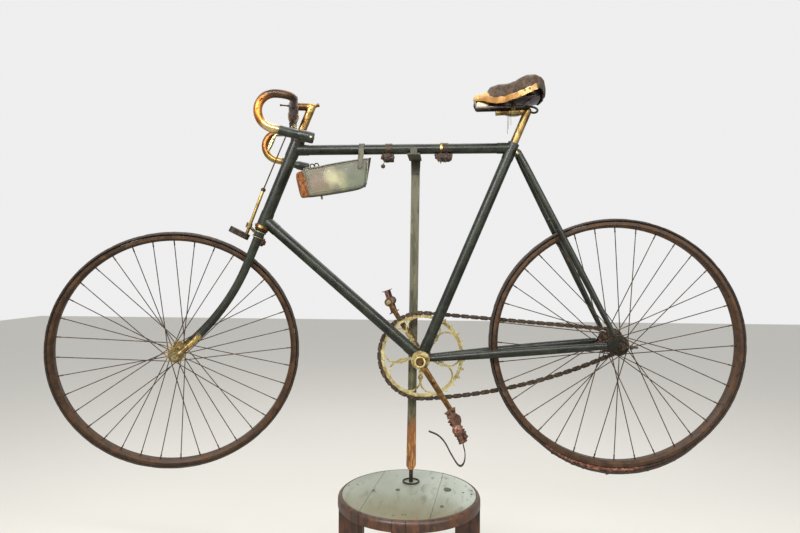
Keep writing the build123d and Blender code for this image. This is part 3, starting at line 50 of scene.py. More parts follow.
steerRest = 18.2  # degrees that the fork is turned in the photograph
barRest = 16.0  # the bar has slipped a little in the steerer
mm = 0.001


# A fixed seed, because noise_vector otherwise gives other dents each run
noise.seed_set(7)


def spot(x, y, z):
    return bracket + Vector((x, y, z)) * mm


def spots(points):
    return [spot(*point) for point in points]


# Small helpers for modelling
def deselectAll():
    if bpy.context.mode != "OBJECT":
        bpy.ops.object.mode_set(mode="OBJECT")
    bpy.ops.object.select_all(action="DESELECT")


def makeActive(piece):
    deselectAll()
    piece.select_set(True)
    bpy.context.view_layer.objects.active = piece
    return piece


def startPiece(name, addPrimitive, **settings):
    deselectAll()
    addPrimitive(**settings)
    piece = bpy.context.active_object
    piece.name = name
    return piece


def settle(piece):
    # The object goes to the origin and its place into its mesh
    bpy.context.view_layer.update()
    piece.data.transform(piece.matrix_world)
    piece.matrix_world = Matrix.Identity(4)
    return piece


def modify(piece, kind, **settings):
    makeActive(piece)
    modifier = piece.modifiers.new(kind.title(), kind)
    for name, value in settings.items():
        setattr(modifier, name, value)
    bpy.ops.object.modifier_apply(modifier=modifier.name)
    return piece


def thickened(piece, thickness, offset=0):
    return modify(piece, "SOLIDIFY", thickness=thickness * mm, offset=offset)


def bevelled(piece, width, segments, degrees):
    limit = math.radians(degrees)
    return modify(
        piece, "BEVEL", width=width * mm, segments=segments, limit_method="ANGLE", angle_limit=limit,
    )


def smoothed(piece):
    return modify(piece, "SUBSURF", levels=1, render_levels=1)


def tidyNormals(piece, distance=0.00001):
    makeActive(piece)
    bpy.ops.object.mode_set(mode="EDIT")
    bpy.ops.mesh.select_all(action="SELECT")
    bpy.ops.mesh.remove_doubles(threshold=distance)
    bpy.ops.mesh.normals_make_consistent(inside=False)
    bpy.ops.object.mode_set(mode="OBJECT")
    return piece


def standing(point, direction):
    # Brings what stands on the origin to a point, turned to point along a direction
    turn = Vector((0, 0, 1)).rotation_difference(Vector(direction).normalized())
    return Matrix.Translation(point) @ turn.to_matrix().to_4x4()


def turnedPiece(name, start, direction, stations, sides=24, solid=True):
    # Turned as on a lathe: stations are (height, radius) in mm from the start
    firstHeight, firstRadius = stations[0]
    piece = startPiece(
        name,
        bpy.ops.mesh.primitive_circle_add,
        vertices=sides,
        radius=firstRadius * mm,
        fill_type="NGON" if solid else "NOTHING",
        location=(0, 0, firstHeight * mm),
    )
    bpy.ops.object.mode_set(mode="EDIT")
    bpy.ops.mesh.select_all(action="SELECT")
    for (height, radius), (nextHeight, nextRadius) in zip(stations, stations[1:]):
        bpy.ops.mesh.extrude_region_move(TRANSFORM_OT_translate={"value": (0, 0, (nextHeight - height) * mm)})
        grow = nextRadius / radius
        bpy.ops.transform.resize(value=(grow, grow, 1), center_override=(0, 0, nextHeight * mm))
    bpy.ops.object.mode_set(mode="OBJECT")
    settle(piece)
    tidyNormals(piece)
    piece.data.transform(standing(start, direction))
    return piece


def turnedModel(name, stations, sides, solid=True):
    # Stands on the origin, ready to be repeated
    return turnedPiece(name, (0, 0, 0), (0, 0, 1), stations, sides, solid)


def shapedGrid(name, across, along, place):
    # A flat grid laid over a form: place turns its two shares into a point in mm
    piece = startPiece(
        name, bpy.ops.mesh.primitive_grid_add, x_subdivisions=across, y_subdivisions=along, size=2,
    )
    for vertex in piece.data.vertices:
        vertex.co = spot(*place((vertex.co.x + 1) / 2, (vertex.co.y + 1) / 2))
    return piece


def cutPiece(piece, point, normal, filled=True):
    # Cuts away what lies behind the plane
    makeActive(piece)
    bpy.ops.object.mode_set(mode="EDIT")
    bpy.ops.mesh.select_all(action="SELECT")
    bpy.ops.mesh.bisect(plane_co=point, plane_no=normal, use_fill=filled, clear_inner=True)
    bpy.ops.object.mode_set(mode="OBJECT")
    return piece


def copyOf(piece, name):
    copy = piece.copy()
    copy.data = piece.data.copy()
    copy.name = name
    bpy.context.scene.collection.objects.link(copy)
    return copy


def roughened(piece, amount, size, seed=0):
    # Small dents and swellings that no tool would leave
    for vertex in piece.data.vertices:
        shift = noise.noise_vector((vertex.co + Vector((seed, 0, 0))) * (1000 / size))
        vertex.co += shift * amount * mm
    return piece


def between(value, stations):
    # The value of a curve given by (place, height) stations
    if value <= stations[0][0]:
        return stations[0][1]
    for (low, first), (high, second) in zip(stations, stations[1:]):
        if value <= high:
            share = (value - low) / (high - low)
            return first + (second - first) * share * share * (3 - 2 * share)
    return stations[-1][1]


def wirePiece(name, points, radius, closed=False, sides=3, order=3):
    # A round wire along a smooth spline, made a mesh
    curve = bpy.data.curves.new(name, "CURVE")
    curve.dimensions = "3D"
    curve.bevel_depth = radius * mm
    curve.bevel_resolution = sides
    curve.use_fill_caps = not closed
    spline = curve.splines.new("NURBS")
    spline.points.add(len(points) - 1)
    for point, place in zip(spline.points, points):
        point.co = (*place, 1)
    spline.use_cyclic_u = closed
    spline.order_u = order
    spline.use_endpoint_u = not closed
    spline.resolution_u = 6
    piece = bpy.data.objects.new(name, curve)
    bpy.context.scene.collection.objects.link(piece)
    makeActive(piece)
    bpy.ops.object.convert(target="MESH")
    return bpy.context.active_object


def joined(name, parts):
    deselectAll()
    for part in parts:
        part.select_set(True)
    bpy.context.view_layer.objects.active = parts[0]
    if len(parts) > 1:
        bpy.ops.object.join()
    parts[0].name = name
    return parts[0]


def repeated(name, model, places):
    # The model copied to each place, one mesh in all; a place is a matrix
    copies = [copyOf(model, name) for place in places]
    for copy, place in zip(copies, places):
        copy.data.transform(place)
    bpy.data.objects.remove(model)
    return joined(name, copies)


def steered(piece, degrees=steerRest):
    turn = Matrix.Rotation(math.radians(degrees), 4, steeringAxis)
    piece.data.transform(Matrix.Translation(steeringFoot) @ turn @ Matrix.Translation(-steeringFoot))
    return piece


def finishPiece(piece, body, material, replaced=(), smooth=38):
    makeActive(piece)
    if smooth:
        bpy.ops.object.shade_smooth_by_angle(angle=math.radians(smooth))
    piece.data.materials.clear()
    piece.data.materials.append(material)
    if replaced:
        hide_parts(*replaced)
    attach(piece, body)
    return piece


# Helpers for materials
def linear(hexColour):
    channels = [int(hexColour[i : i + 2], 16) / 255 for i in (1, 3, 5)]
    return (*[c / 12.92 if c <= 0.04045 else ((c + 0.055) / 1.055) ** 2.4 for c in channels], 1)


def addNode(tree, kind, settings=None, inputs=None):
    node = tree.nodes.new(kind)
    for name, value in (settings or {}).items():
        setattr(node, name, value)
    for name, value in (inputs or {}).items():
        if isinstance(value, bpy.types.NodeSocket):
            tree.links.new(value, node.inputs[name])
        else:
            node.inputs[name].default_value = value
    return node


def addVectorNode(tree, operation, first, second):
    return addNode(tree, "ShaderNodeVectorMath", {"operation": operation}, {0: first, 1: second})


def wear(colour, size, level=0.5, soft=0.06, strength=1):
    # A patch of another colour wherever the noise passes a level
    return {"colour": colour, "size": size, "level": level, "soft": soft, "strength": strength}


def stain(colour, size, centre, reach, ragged, soft=0.06, strength=1):
    # A patch round one point of the object
    patch = wear(colour, size, 0.5 + ragged * 0.5, soft, strength)
    patch.update(centre=spot(*centre), reach=reach * mm, ragged=ragged)
    return patch


def fading(colour, size, first, last, ragged, soft=0.06, strength=1):
    # A patch that grows along a line on the object, from none to all of it
    patch = wear(colour, size, 0.5 + ragged * 0.5, soft, strength)
    patch.update(first=spot(*first), last=spot(*last), ragged=ragged)
    return patch


def patchNoise(tree, patch, place, real):
    settings = {"Vector": place, "Scale": 1000 / patch["size"], "Detail": 4, "Roughness": 0.55}
    plain = addNode(tree, "ShaderNodeTexNoise", inputs=settings).outputs[0]
    if "first" in patch:
        run = patch["last"] - patch["first"]
        share = run / run.length_squared
        shifted = addVectorNode(tree, "SUBTRACT", real, patch["first"]).outputs[0]
        along = addVectorNode(tree, "DOT_PRODUCT", shifted, share).outputs["Value"]
        grown = addNode(tree, "ShaderNodeClamp", inputs={"Value": along, "Min": -0.5, "Max": 1.5})
    elif "centre" in patch:
        away = addVectorNode(tree, "DISTANCE", real, patch["centre"]).outputs["Value"]
        fall = {"Value": away, "From Max": 2 * patch["reach"], "To Min": 1, "To Max": 0}
        grown = addNode(tree, "ShaderNodeMapRange", inputs=fall)
    else:
        return plain
    raised = {0: plain, 1: patch["ragged"], 2: grown.outputs[0]}
    return addNode(tree, "ShaderNodeMath", {"operation": "MULTIPLY_ADD"}, raised).outputs[0]


def agedMaterial(name, base, rough, patches, **changes):
    look = {
        "metal": 0,
        "ior": 1.5,
        "coat": 0,
        "coatRough": 0.2,
        "grit": 2,
        "bump": 0.2,
        "depth": 0.3,
        "roughPatch": 0,
        "metalPatch": 0,
        **changes,
    }
    material = bpy.data.materials.new(name)
    material.use_nodes = True
    tree = material.node_tree
    shader = tree.nodes["Principled BSDF"]
    real = addNode(tree, "ShaderNodeTexCoord").outputs["Object"]
    place = real
    if "stretch" in look:
        stretched = {"Vector": real, "Scale": look["stretch"]}
        place = addNode(tree, "ShaderNodeMapping", inputs=stretched).outputs[0]
    colour = linear(base)
    masks = []
    for patch in patches:
        edge = {
            "Value": patchNoise(tree, patch, place, real),
            "From Min": patch["level"] - patch["soft"],
            "From Max": patch["level"] + patch["soft"],
            "To Max": patch["strength"],
        }
        mask = addNode(tree, "ShaderNodeMapRange", inputs=edge).outputs["Result"]
        colours = {"Factor": mask, 6: colour, 7: linear(patch["colour"])}
        colour = addNode(tree, "ShaderNodeMix", {"data_type": "RGBA"}, colours).outputs[2]
        masks.append(mask)
    tree.links.new(colour, shader.inputs["Base Color"])
    # Roughness follows one patch, and metal may follow another
    spans = [("Roughness", look["roughPatch"], rough)]
    if isinstance(look["metal"], tuple):
        spans.append(("Metallic", look["metalPatch"], look["metal"]))
    for socket, number, (least, most) in spans:
        span = addNode(
            tree, "ShaderNodeMapRange", inputs={"Value": masks[number], "To Min": least, "To Max": most},
        )
        tree.links.new(span.outputs["Result"], shader.inputs[socket])
    if not isinstance(look["metal"], tuple):
        shader.inputs["Metallic"].default_value = look["metal"]
    shader.inputs["IOR"].default_value = look["ior"]
    if look["coat"]:
        shader.inputs["Coat Weight"].default_value = look["coat"]
        shader.inputs["Coat Roughness"].default_value = look["coatRough"]
    fine = {"Vector": place, "Scale": 1000 / look["grit"], "Detail": 6, "Roughness": 0.6}
    grit = addNode(tree, "ShaderNodeTexNoise", inputs=fine).outputs[0]
    dents = {"Height": grit, "Strength": look["bump"], "Distance": look["depth"] * mm}
    bump = addNode(tree, "ShaderNodeBump", inputs=dents)
    tree.links.new(bump.outputs[0], shader.inputs["Normal"])
    return material


print("materials")
# Sizes are in mm: the width of each patch of wear, and the grit that the bump shows
# A painted highlight: a pale gold spot on the ring under the head
paintedRingHighlight = tuple((steeringFoot - bracket) / mm + Vector((1, -20, 0)))
paint = agedMaterial("blackGreenEnamel", "#15180f", (0.32, 0.46), [
    wear("#23271b", 60, 0.52, 0.12),
    wear("#0d0f0a", 25, 0.58, 0.08),
    wear("#3a2c18", 14, 0.66, 0.05, strength=0.8),
    wear("#6d6d50", 4, 0.72, 0.03, strength=0.6),
], ior=1.34, coat=0.12, coatRough=0.12, grit=3, bump=0.03, depth=0.1)
greasyEnamel = agedMaterial("greasyBlackEnamel", "#0c0d08", (0.6, 0.8), [
    wear("#26200f", 12, 0.58, 0.08),
    stain("#4a4418", 6, (498, -56, 47), 6, 0.8, 0.1),
], ior=1.3, grit=3, bump=0.3)
# The fork's lower third was plated, and the plating is down to brass
forkPaint = agedMaterial("blackGreenEnamelOverBrassTips", "#15180f", (0.36, 0.42), [
    wear("#262b1e", 60, 0.52, 0.12),
    wear("#0d0f0a", 25, 0.58, 0.08),
    wear("#3a2c18", 12, 0.66, 0.05, strength=0.8),
    stain("#a88f58", 10, (-647, -66, 11), 84, 0.25, 0.03),
    stain("#4c3a20", 8, (-647, -66, 11), 60, 1.6, 0.08, strength=0.7),
], ior=1.36, metal=(0, 0.9), metalPatch=3, roughPatch=3, grit=3, bump=0.12, depth=0.2)
brass = agedMaterial("wornNickelBrass", "#7d683f", (0.34, 0.5), [
    wear("#a8966a", 16, 0.55, 0.1),
    wear("#4d381d", 9, 0.59, 0.08),
    wear("#2c2012", 5, 0.66, 0.05),
], metal=0.9, bump=0.12, depth=0.2)
ringBrass = agedMaterial("paleWornChainringNickel", "#a3925a", (0.36, 0.5), [
    wear("#c8bc8a", 26, 0.52, 0.1),
    wear("#7d6228", 16, 0.58, 0.08),
    wear("#2c2010", 3.5, 0.65, 0.04),
], metal=0.6, depth=0.2)
copperCap = agedMaterial("dullCopperCap", "#7c5546", (0.4, 0.55), [
    wear("#9c7464", 6, 0.55),
    wear("#3e261c", 4, 0.6, 0.04),
], metal=0.7)
clipBrass = agedMaterial("clipBrassWithPaintedHighlight", "#4d4020", (0.3, 0.5), [
    wear("#6a4c1c", 8, 0.54),
    # Painted highlight: a small pale gold spot on the band's near side
    stain("#c9b06e", 6, (50.4, -14, 554), 6.0, 0.4, 0.2),
], metal=0.9, bump=0.1, depth=0.2)
wadLeather = agedMaterial("rottenClipLeather", "#2e2016", (0.6, 0.85), [
    wear("#463022", 9, 0.56),
    wear("#1b120c", 5, 0.58),
], grit=1.6, bump=0.8, depth=0.8)
postBrass = agedMaterial("brownedSeatPostNickel", "#66522d", (0.3, 0.42), [
    wear("#8d784a", 26, 0.54, 0.12),
    wear("#442e14", 18, 0.58, 0.1),
    wear("#281a0b", 5, 0.67, 0.04),
], metal=0.9, stretch=(1, 1, 0.4), bump=0.1, depth=0.2)
# Copper shows on the front of the hooks and dull brown plating on the straight part; the pale patches below
# the hooks are partly brass and partly a painted highlight
copper = agedMaterial("nickelWornToCopper", "#44362b", (0.28, 0.38), [
    wear("#5b4738", 30, 0.52, 0.12),
    stain("#a3652a", 14, (-373, -227, 596), 40, 0.4, 0.16),
    # Near lower run: pale brass, and also a painted highlight
    stain("#cdb27a", 12, (-346, -221, 563), 22, 0.4, 0.14),
    stain("#7f4f26", 16, (-473, 166, 590), 50, 0.5, 0.16),
    # Far lower run: pale brass, and also a painted highlight
    stain("#ab8a4e", 16, (-446, 174, 560), 30, 0.5, 0.16),
    wear("#2b2017", 9, 0.65, 0.06),
], metal=0.9, bump=0.06, depth=0.2)
stemMetal = agedMaterial("brownedStemNickel", "#4e3720", (0.3, 0.42), [
    wear("#6b4d2a", 14, 0.54, 0.1),
    stain("#a98a50", 9, (-293, -10, 664), 13, 0.3, 0.12),
    stain("#8f7040", 14, (-314, -10, 622), 30, 0.5, 0.12),
    wear("#2b1b0c", 7, 0.62, 0.05),
], metal=0.9, bump=0.1, depth=0.2)
rodBrass = agedMaterial("polishedRodBrass", "#9c8350", (0.24, 0.34), [
    wear("#7a5f34", 34, 0.54, 0.12),
    wear("#463418", 12, 0.68, 0.06),
], metal=0.95, bump=0.08, depth=0.2)
ringCopper = agedMaterial("copperedHeadRing", "#6f431b", (0.28, 0.4), [
    wear("#8a5a26", 14, 0.55, 0.1),
    wear("#3c2410", 8, 0.62, 0.06),
    # Painted highlight on the ring's near side
    stain("#cdb274", 9, paintedRingHighlight, 6.5, 0.5, 0.2),
], metal=0.9, bump=0.12, depth=0.2)
nickel = agedMaterial("dullNickel", "#a9a07e", (0.28, 0.45), [
    wear("#7d7152", 10, 0.56),
    wear("#4b3820", 6, 0.64, 0.04),
], metal=0.95, bump=0.12, depth=0.2)
crownNutIron = agedMaterial("redBrownNutIron", "#34190f", (0.35, 0.55), [
    wear("#542c1c", 8, 0.55),
    # Painted highlight: small pinkish spots over the nut
    wear("#a07468", 5, 0.66, 0.05),
], metal=0.6, bump=0.3)
darkIron = agedMaterial("brownBlackIron", "#2b241b", (0.45, 0.65), [
    wear("#4b3a28", 8, 0.56),
    wear("#17120d", 5, 0.6),
    wear("#7a5f3c", 2.6, 0.7, 0.03),
], metal=0.55, bump=0.25)
paleIron = agedMaterial("greySaddleIron", "#5a5257", (0.35, 0.5), [
    wear("#7d7472", 12, 0.55),
    wear("#3a2a26", 8, 0.58),
    wear("#6b4526", 3.5, 0.66, 0.04),
], metal=0.7, depth=0.2)
rust = agedMaterial("rustedSteel", "#4a3020", (0.75, 0.9), [
    wear("#6b4630", 7, 0.54),
    wear("#2a1c14", 4, 0.58),
    wear("#8a6242", 2.5, 0.68, 0.04),
], metal=0.15, grit=1.6, bump=0.5, depth=0.5)
rimRust = agedMaterial("rustedRim", "#352313", (0.45, 0.65), [
    wear("#4b331c", 30, 0.53, 0.1),
    wear("#20160c", 9, 0.62),
    wear("#614628", 4, 0.69, 0.04),
], metal=0.4, grit=3, bump=0.25)
spokeSteel = agedMaterial("brownedSpokes", "#30261c", (0.45, 0.6), [
    wear("#574330", 12, 0.56),
    wear("#1b140e", 7, 0.62),
], metal=0.5, depth=0.2)
frontHubSteel = agedMaterial("brownedSpokesPlatedHub", "#30261c", (0.45, 0.6), [
    wear("#574330", 12, 0.56),
    wear("#1b140e", 7, 0.62),
    stain("#94804f", 7, (-652, -26, 11), 41, 0.5, 0.06),
], metal=(0.5, 0.85), metalPatch=2, depth=0.2)
chainSteel = agedMaterial("greasyChainSteel", "#2e241b", (0.5, 0.75), [
    wear("#5a4630", 6, 0.56),
    wear("#16110c", 4, 0.62),
    wear("#8a7048", 2.6, 0.69, 0.04),
], metal=0.4, grit=1.5, bump=0.4)
crankSteel = agedMaterial("bronzedCrank", "#5c4225", (0.38, 0.55), [
    wear("#80602f", 12, 0.56, 0.08),
    wear("#35240f", 7, 0.59),
    wear("#20150b", 3, 0.67, 0.04),
], metal=0.8)
tyre = agedMaterial("perishedRubber", "#231a10", (0.7, 0.9), [
    wear("#3a2918", 18, 0.54, 0.1),
    wear("#150f09", 5, 0.57),
    wear("#5f4630", 2.6, 0.69, 0.03),
], grit=2.2, bump=0.9, depth=1.2)
tornCanvas = agedMaterial("tornTyreCanvas", "#5c2e1f", (0.8, 0.95), [
    wear("#9a745c", 6, 0.56),
    wear("#3a1c14", 4, 0.58),
    stain("#2b1c11", 10, (634, 0, -235), 84, 0.4, 0.1),
], grit=1.5, bump=0.8, depth=0.6)
rubber = agedMaterial("hardRubberGrip", "#14170f", (0.34, 0.5), [
    wear("#24291e", 20, 0.54, 0.1),
    wear("#11130e", 8, 0.6),
    wear("#5a4a30", 3, 0.7, 0.03),
], ior=1.4, coat=0.15, grit=3)
bone = agedMaterial("yellowedBone", "#cfc8a8", (0.4, 0.55), [
    wear("#9c8d64", 4, 0.58),
], grit=1.5, bump=0.1, depth=0.4)
saddleLeather = agedMaterial("driedSaddleLeather", "#3e2b19", (0.6, 0.85), [
    wear("#2a1c10", 16, 0.52, 0.1),
    wear("#59401f", 9, 0.58, 0.08, strength=0.7),
    wear("#1a120a", 4, 0.63, 0.04),
    fading("#b09660", 10, (174, 0, 700), (160, 0, 694), 0.5, 0.1),
], grit=1.8, bump=0.8, depth=1.0)
saddleEdge = agedMaterial("tanLeatherEdge", "#a97a35", (0.4, 0.6), [
    wear("#8a5c22", 18, 0.52, 0.1),
    stain("#cfae6e", 14, (262, -78, 680), 22, 0.9, 0.06),
    stain("#c9a866", 10, (138, -8, 684), 16, 0.8, 0.08),
    wear("#5f4420", 4, 0.64, 0.04),
    stain("#6b4a1c", 3, (256, -85, 678), 3.8, 0.7, 0.1),
    stain("#6b4a1c", 3, (268, -86, 682), 3.2, 0.7, 0.1),
    fading("#2c1f13", 9, (281, 0, 684), (292, 0, 688), 0.4, 0.1),
], coat=0.15, bump=0.4, depth=0.5)
bagLeather = agedMaterial("bagLeatherWithPaintedHighlight", "#4f4c37", (0.34, 0.55), [
    wear("#6a6c53", 70, 0.52, 0.14),
    stain("#675036", 40, (-258, -78, 456), 36, 0.8, 0.2, strength=0.7),
    # Painted highlight on the near face: two pale patches, with a duller patch between them
    stain("#aca67a", 24, (-226, -58, 470), 19, 0.9, 0.3, strength=0.85),
    stain("#a59f70", 24, (-200, -48, 461), 15, 0.9, 0.3, strength=0.7),
    stain("#6f6b48", 24, (-208, -52, 480), 10, 0.9, 0.3, strength=0.6),
    stain("#46523a", 34, (-165, -28, 455), 34, 1.0, 0.25, strength=0.7),
    wear("#3a3628", 3.5, 0.69, 0.03),
], coat=0.3, coatRough=0.25, depth=0.4)
seamLeather = agedMaterial("blackenedSeamLeather", "#1e1a10", (0.6, 0.8), [
    wear("#3a2f1c", 9, 0.58),
], bump=0.4, depth=0.5)
darkLeather = agedMaterial("darkStrapLeather", "#3d3826", (0.5, 0.7), [
    wear("#57523a", 14, 0.54),
    wear("#25201a", 6, 0.58),
], bump=0.4, depth=0.5)
bagRust = agedMaterial("rustStainedLeather", "#6f3f1a", (0.5, 0.75), [
    wear("#955823", 18, 0.52),
    wear("#3a2110", 8, 0.6),
], bump=0.4, depth=0.5)
postPaint = agedMaterial("olivePostPaint", "#514e38", (0.6, 0.8), [
    wear("#3f402c", 14, 0.52),
    wear("#65603f", 8, 0.6),
    fading("#754820", 10, (0, 85, -110), (0, 85, -300), 1.5, 0.12),
    fading("#a3743c", 5, (0, 85, -170), (0, 85, -420), 2.4, 0.06),
    wear("#2b2216", 6, 0.63, 0.04),
], stretch=(1, 1, 0.15), grit=4, bump=0.4, depth=0.5)
bracketPaint = agedMaterial("grimyOlivePaint", "#2f2d1e", (0.55, 0.8), [
    wear("#45422c", 14, 0.54, 0.1),
    wear("#4a2c1a", 7, 0.63, 0.05),
], grit=3, bump=0.4, depth=0.4)
stoolPaint = agedMaterial("wornGreyStoolPaint", "#7d8272", (0.4, 0.6), [
    fading("#a9b0a4", 80, (-60, 0, -357), (150, 120, -357), 0.9, 0.4, strength=0.9),
    fading("#5f5836", 60, (-31, 60, -357), (-31, -170, -357), 1.2, 0.3, strength=0.85),
    wear("#55523d", 16, 0.62, 0.06, strength=0.6),
    wear("#3f3c2b", 5, 0.7, 0.03),
], stretch=(1, 0.25, 1), coat=0.1, grit=5, bump=0.25, depth=0.4)
knotWood = agedMaterial("darkPineKnot", "#4b4a3a", (0.5, 0.7), [
    wear("#2d2a20", 5, 0.5),
], grit=3, bump=0.4, depth=0.4)
stoolWood = agedMaterial("stainedPine", "#37200f", (0.42, 0.6), [
    wear("#542f13", 22, 0.53, 0.1),
    wear("#1f1209", 14, 0.58, 0.08),
    wear("#6e4620", 5, 0.69, 0.04),
], stretch=(1, 1, 0.3), coat=0.12, grit=5, bump=0.3, depth=0.4)

cadLooks = {
    paint: [
        "head_tube", "top_tube", "down_tube", "seat_tube", "head_lugs", "seat_lug", "bracket_shell",
        "chain_stays", "seat_stays", "fork_crown",
    ],
    greasyEnamel: ["rear_fork_ends"],
    forkPaint: ["fork_blades"],
    brass: ["head_cups", "fork_ends", "saddle_clip", "brake_guide"],
    ringBrass: ["chainring", "bracket_cups"],
    postBrass: ["seat_post"],
    stemMetal: ["stem"],
    copper: ["handlebar"],
    nickel: ["brake_lever", "front_axle"],
    darkIron: [
        "brake_rod", "head_locknut", "pump_clips", "rear_axle", "stand_spike", "toe_clip_left",
        "brake_shoe",
    ],
    paleIron: ["saddle_frame"],
    rust: ["rear_cog", "pedal_left_cage", "pedal_right_cage"],
    crankSteel: ["crank_left", "crank_right", "crank_axle"],
    spokeSteel: ["rear_hub_spokes"],
    frontHubSteel: ["front_hub_spokes"],
    rimRust: ["front_rim", "rear_rim"],
    chainSteel: ["chain"],
    tyre: ["front_tyre", "rear_tyre"],
    rubber: ["grips"],
    saddleLeather: ["saddle_leather"],
    bagLeather: ["tool_bag", "bag_strap"],
    postPaint: ["stand_post"],
    bracketPaint: ["stand_bracket"],
    stoolPaint: ["stool_top"],
    stoolWood: ["stool_legs"],
}
for material, names in cadLooks.items():
    for name in names:
        nodes[name].data.materials.clear()
        nodes[name].data.materials.append(material)

print("stool")
stool = {
    "middle": (-31, 10),
    "top": -357.6,
    "radius": 188,
    "boards": 176.6,
    "thickness": 28,
    "seams": [((-110, 176), (-143, -110)), ((59, 158), (40, -40))],
    "cuts": [[(0, 1)], [(0, -1), (1, 1)], [(1, -1)]],
    "drops": (0.2, 0, 0.5),
    "seamGap": 0.35,
    "roundEdge": 11,
    "joints": (53, 142, 233, 322),
    "legs": (-4, 86, 176, 266),
    "legWidth": 33,
    "nails": [(-59, -144), (-37, -139), (-30, -138), (136, 34), (134, 9), (113, 19), (-175, 52), (-198, 44)],
    "knots": [(-124, 11, 6), (71, 36, 11), (30, 118, 5), (57, -79, 5), (-62, 22, 7)],
}
stoolMiddle = spot(*stool["middle"], stool["top"])
boards = []
for cuts, drop in zip(stool["cuts"], stool["drops"]):
    board = startPiece(
        "board",
        bpy.ops.mesh.primitive_cylinder_add,
        vertices=144,
        radius=stool["boards"] * mm,
        depth=stool["thickness"] * mm,
        location=stoolMiddle - Vector((0, 0, stool["thickness"] / 2)) * mm,
    )
    settle(board)
    for seamNumber, sign in cuts:
        (firstX, firstY), (lastX, lastY) = stool["seams"][seamNumber]
        normal = Vector((firstY - lastY, lastX - firstX, 0)).normalized() * -sign
        cutPiece(board, spot(firstX, firstY, 0) + normal * stool["seamGap"] * mm, normal)
    bevelled(board, 0.9, 2, 40)
    board.data.transform(Matrix.Translation((0, 0, -drop * mm)))
    boards.append(board)
finishPiece(joined("stoolBoards", boards), "frame", stoolPaint, ["stool_top"], smooth=30)

low = -stool["thickness"]
outer = stool["radius"]
inner = stool["boards"]
roundEdge = stool["roundEdge"]
bandStations = [(low, inner + 0.3), (low, outer - 1.2), (low + 1.2, outer), (-roundEdge, outer)]
for degrees in (15, 30, 45, 60, 75):
    turn = math.radians(degrees)
    bandStations.append((-roundEdge * (1 - math.sin(turn)), outer - roundEdge * (1 - math.cos(turn))))
bandStations += [(0, inner + 1.2), (-1.2, inner + 0.3), (low, inner + 0.3)]
stoolBand = turnedPiece("band", stoolMiddle, (0, 0, 1), bandStations, 180, solid=False)
segments = []
marks = [(turn % 360, "joint") for turn in stool["joints"]]
marks += [(turn % 360, "leg") for turn in stool["legs"]]
marks.sort()
halfLeg = math.degrees(stool["legWidth"] / 2 / outer)
for (firstTurn, firstKind), (lastTurn, lastKind) in zip(marks, marks[1:] + marks[:1]):
    fromTurn = math.radians(firstTurn + (halfLeg if firstKind == "leg" else 0.12))
    toTurn = math.radians(lastTurn - (halfLeg if lastKind == "leg" else 0.12))
    segment = copyOf(stoolBand, "segment")
    cutPiece(segment, stoolMiddle, (-math.sin(fromTurn), math.cos(fromTurn), 0))
    cutPiece(segment, stoolMiddle, (math.sin(toTurn), -math.cos(toTurn), 0))
    segments.append(segment)
for degrees in stool["legs"]:
    # The leg's head is let into the band, flush with it
    head = copyOf(stoolBand, "legHead")
    turn = math.radians(degrees)
    outward = Vector((math.cos(turn), math.sin(turn), 0))
    for sign in (-1, 1):
        edge = turn + sign * math.radians(halfLeg - 0.1)
        cutPiece(head, stoolMiddle, (sign * math.sin(edge), -sign * math.cos(edge), 0))
    cutPiece(head, stoolMiddle, outward)
    head.data.transform(Matrix.Translation(outward * 0.3 * mm))
    segments.append(head)
bpy.data.objects.remove(stoolBand)
stoolBand = joined("stoolBand", segments)
bevelled(stoolBand, 0.5, 1, 60)
finishPiece(stoolBand, "frame", stoolWood, smooth=35)

nail = turnedModel("nail", [(-1.5, 1.6), (-0.4, 2.6), (0.15, 2.5), (0.35, 1.4)], 10)
nailPlaces = [Matrix.Translation(spot(x, y, stool["top"])) for x, y in stool["nails"]]
finishPiece(repeated("stoolNails", nail, nailPlaces), "frame", darkIron)
knots = []
for x, y, size in stool["knots"]:
    knotStations = [
        (-1, size), (0.05, size * 0.98), (0.12, size * 0.7), (0.02, size * 0.55), (0.1, size * 0.3),
    ]
    knot = turnedModel("knot", knotStations, 20)
    knot.data.transform(Matrix.Diagonal((1, 1.35, 1, 1)))
    roughened(knot, 0.5, 14, size)
    knot.data.transform(Matrix.Translation(spot(x, y, stool["top"])))
    knots.append(knot)
finishPiece(joined("stoolKnots", knots), "frame", knotWood)

print("saddle")
saddle = {
    "top": [
        (138, 682), (140, 685), (146, 687.5),
        (160, 689.5), (169, 692.5), (173, 698), (179, 706.5), (200, 710.5),
        (220, 709.5), (234, 713), (252, 719), (268, 724.5), (282, 724), (294, 718), (303, 711), (309, 700),
        (312, 690),
    ],
    "edge": [
        (138, 675.5),
        (144, 674), (158, 671.5), (176, 665.5), (192, 660.5), (212, 660), (232, 664), (252, 668),
        (270, 674), (284, 681), (294, 686), (302, 684), (308, 678), (312, 677),
    ],
    "half": [
        (138, 4), (139, 9), (142, 12), (150, 15.5), (176, 26), (205, 41), (235, 60), (262, 77), (280, 81.5),
        (292, 77), (301, 66), (308, 48), (311, 28), (312, 8),
    ],
    "run": [
        138, 138.3, 139, 140.2, 142, 145, 149, 156, 163, 168, 171, 174, 177, 180, 185, 192, 200, 208, 216,
        224, 232, 240, 248, 256, 264, 271, 278, 284, 289, 294, 298, 302, 305, 308, 310, 311.4, 312,
    ],
    "crown": 0.62,
    "skirt": 0.62,
    "bareEdge": 14.5,
}


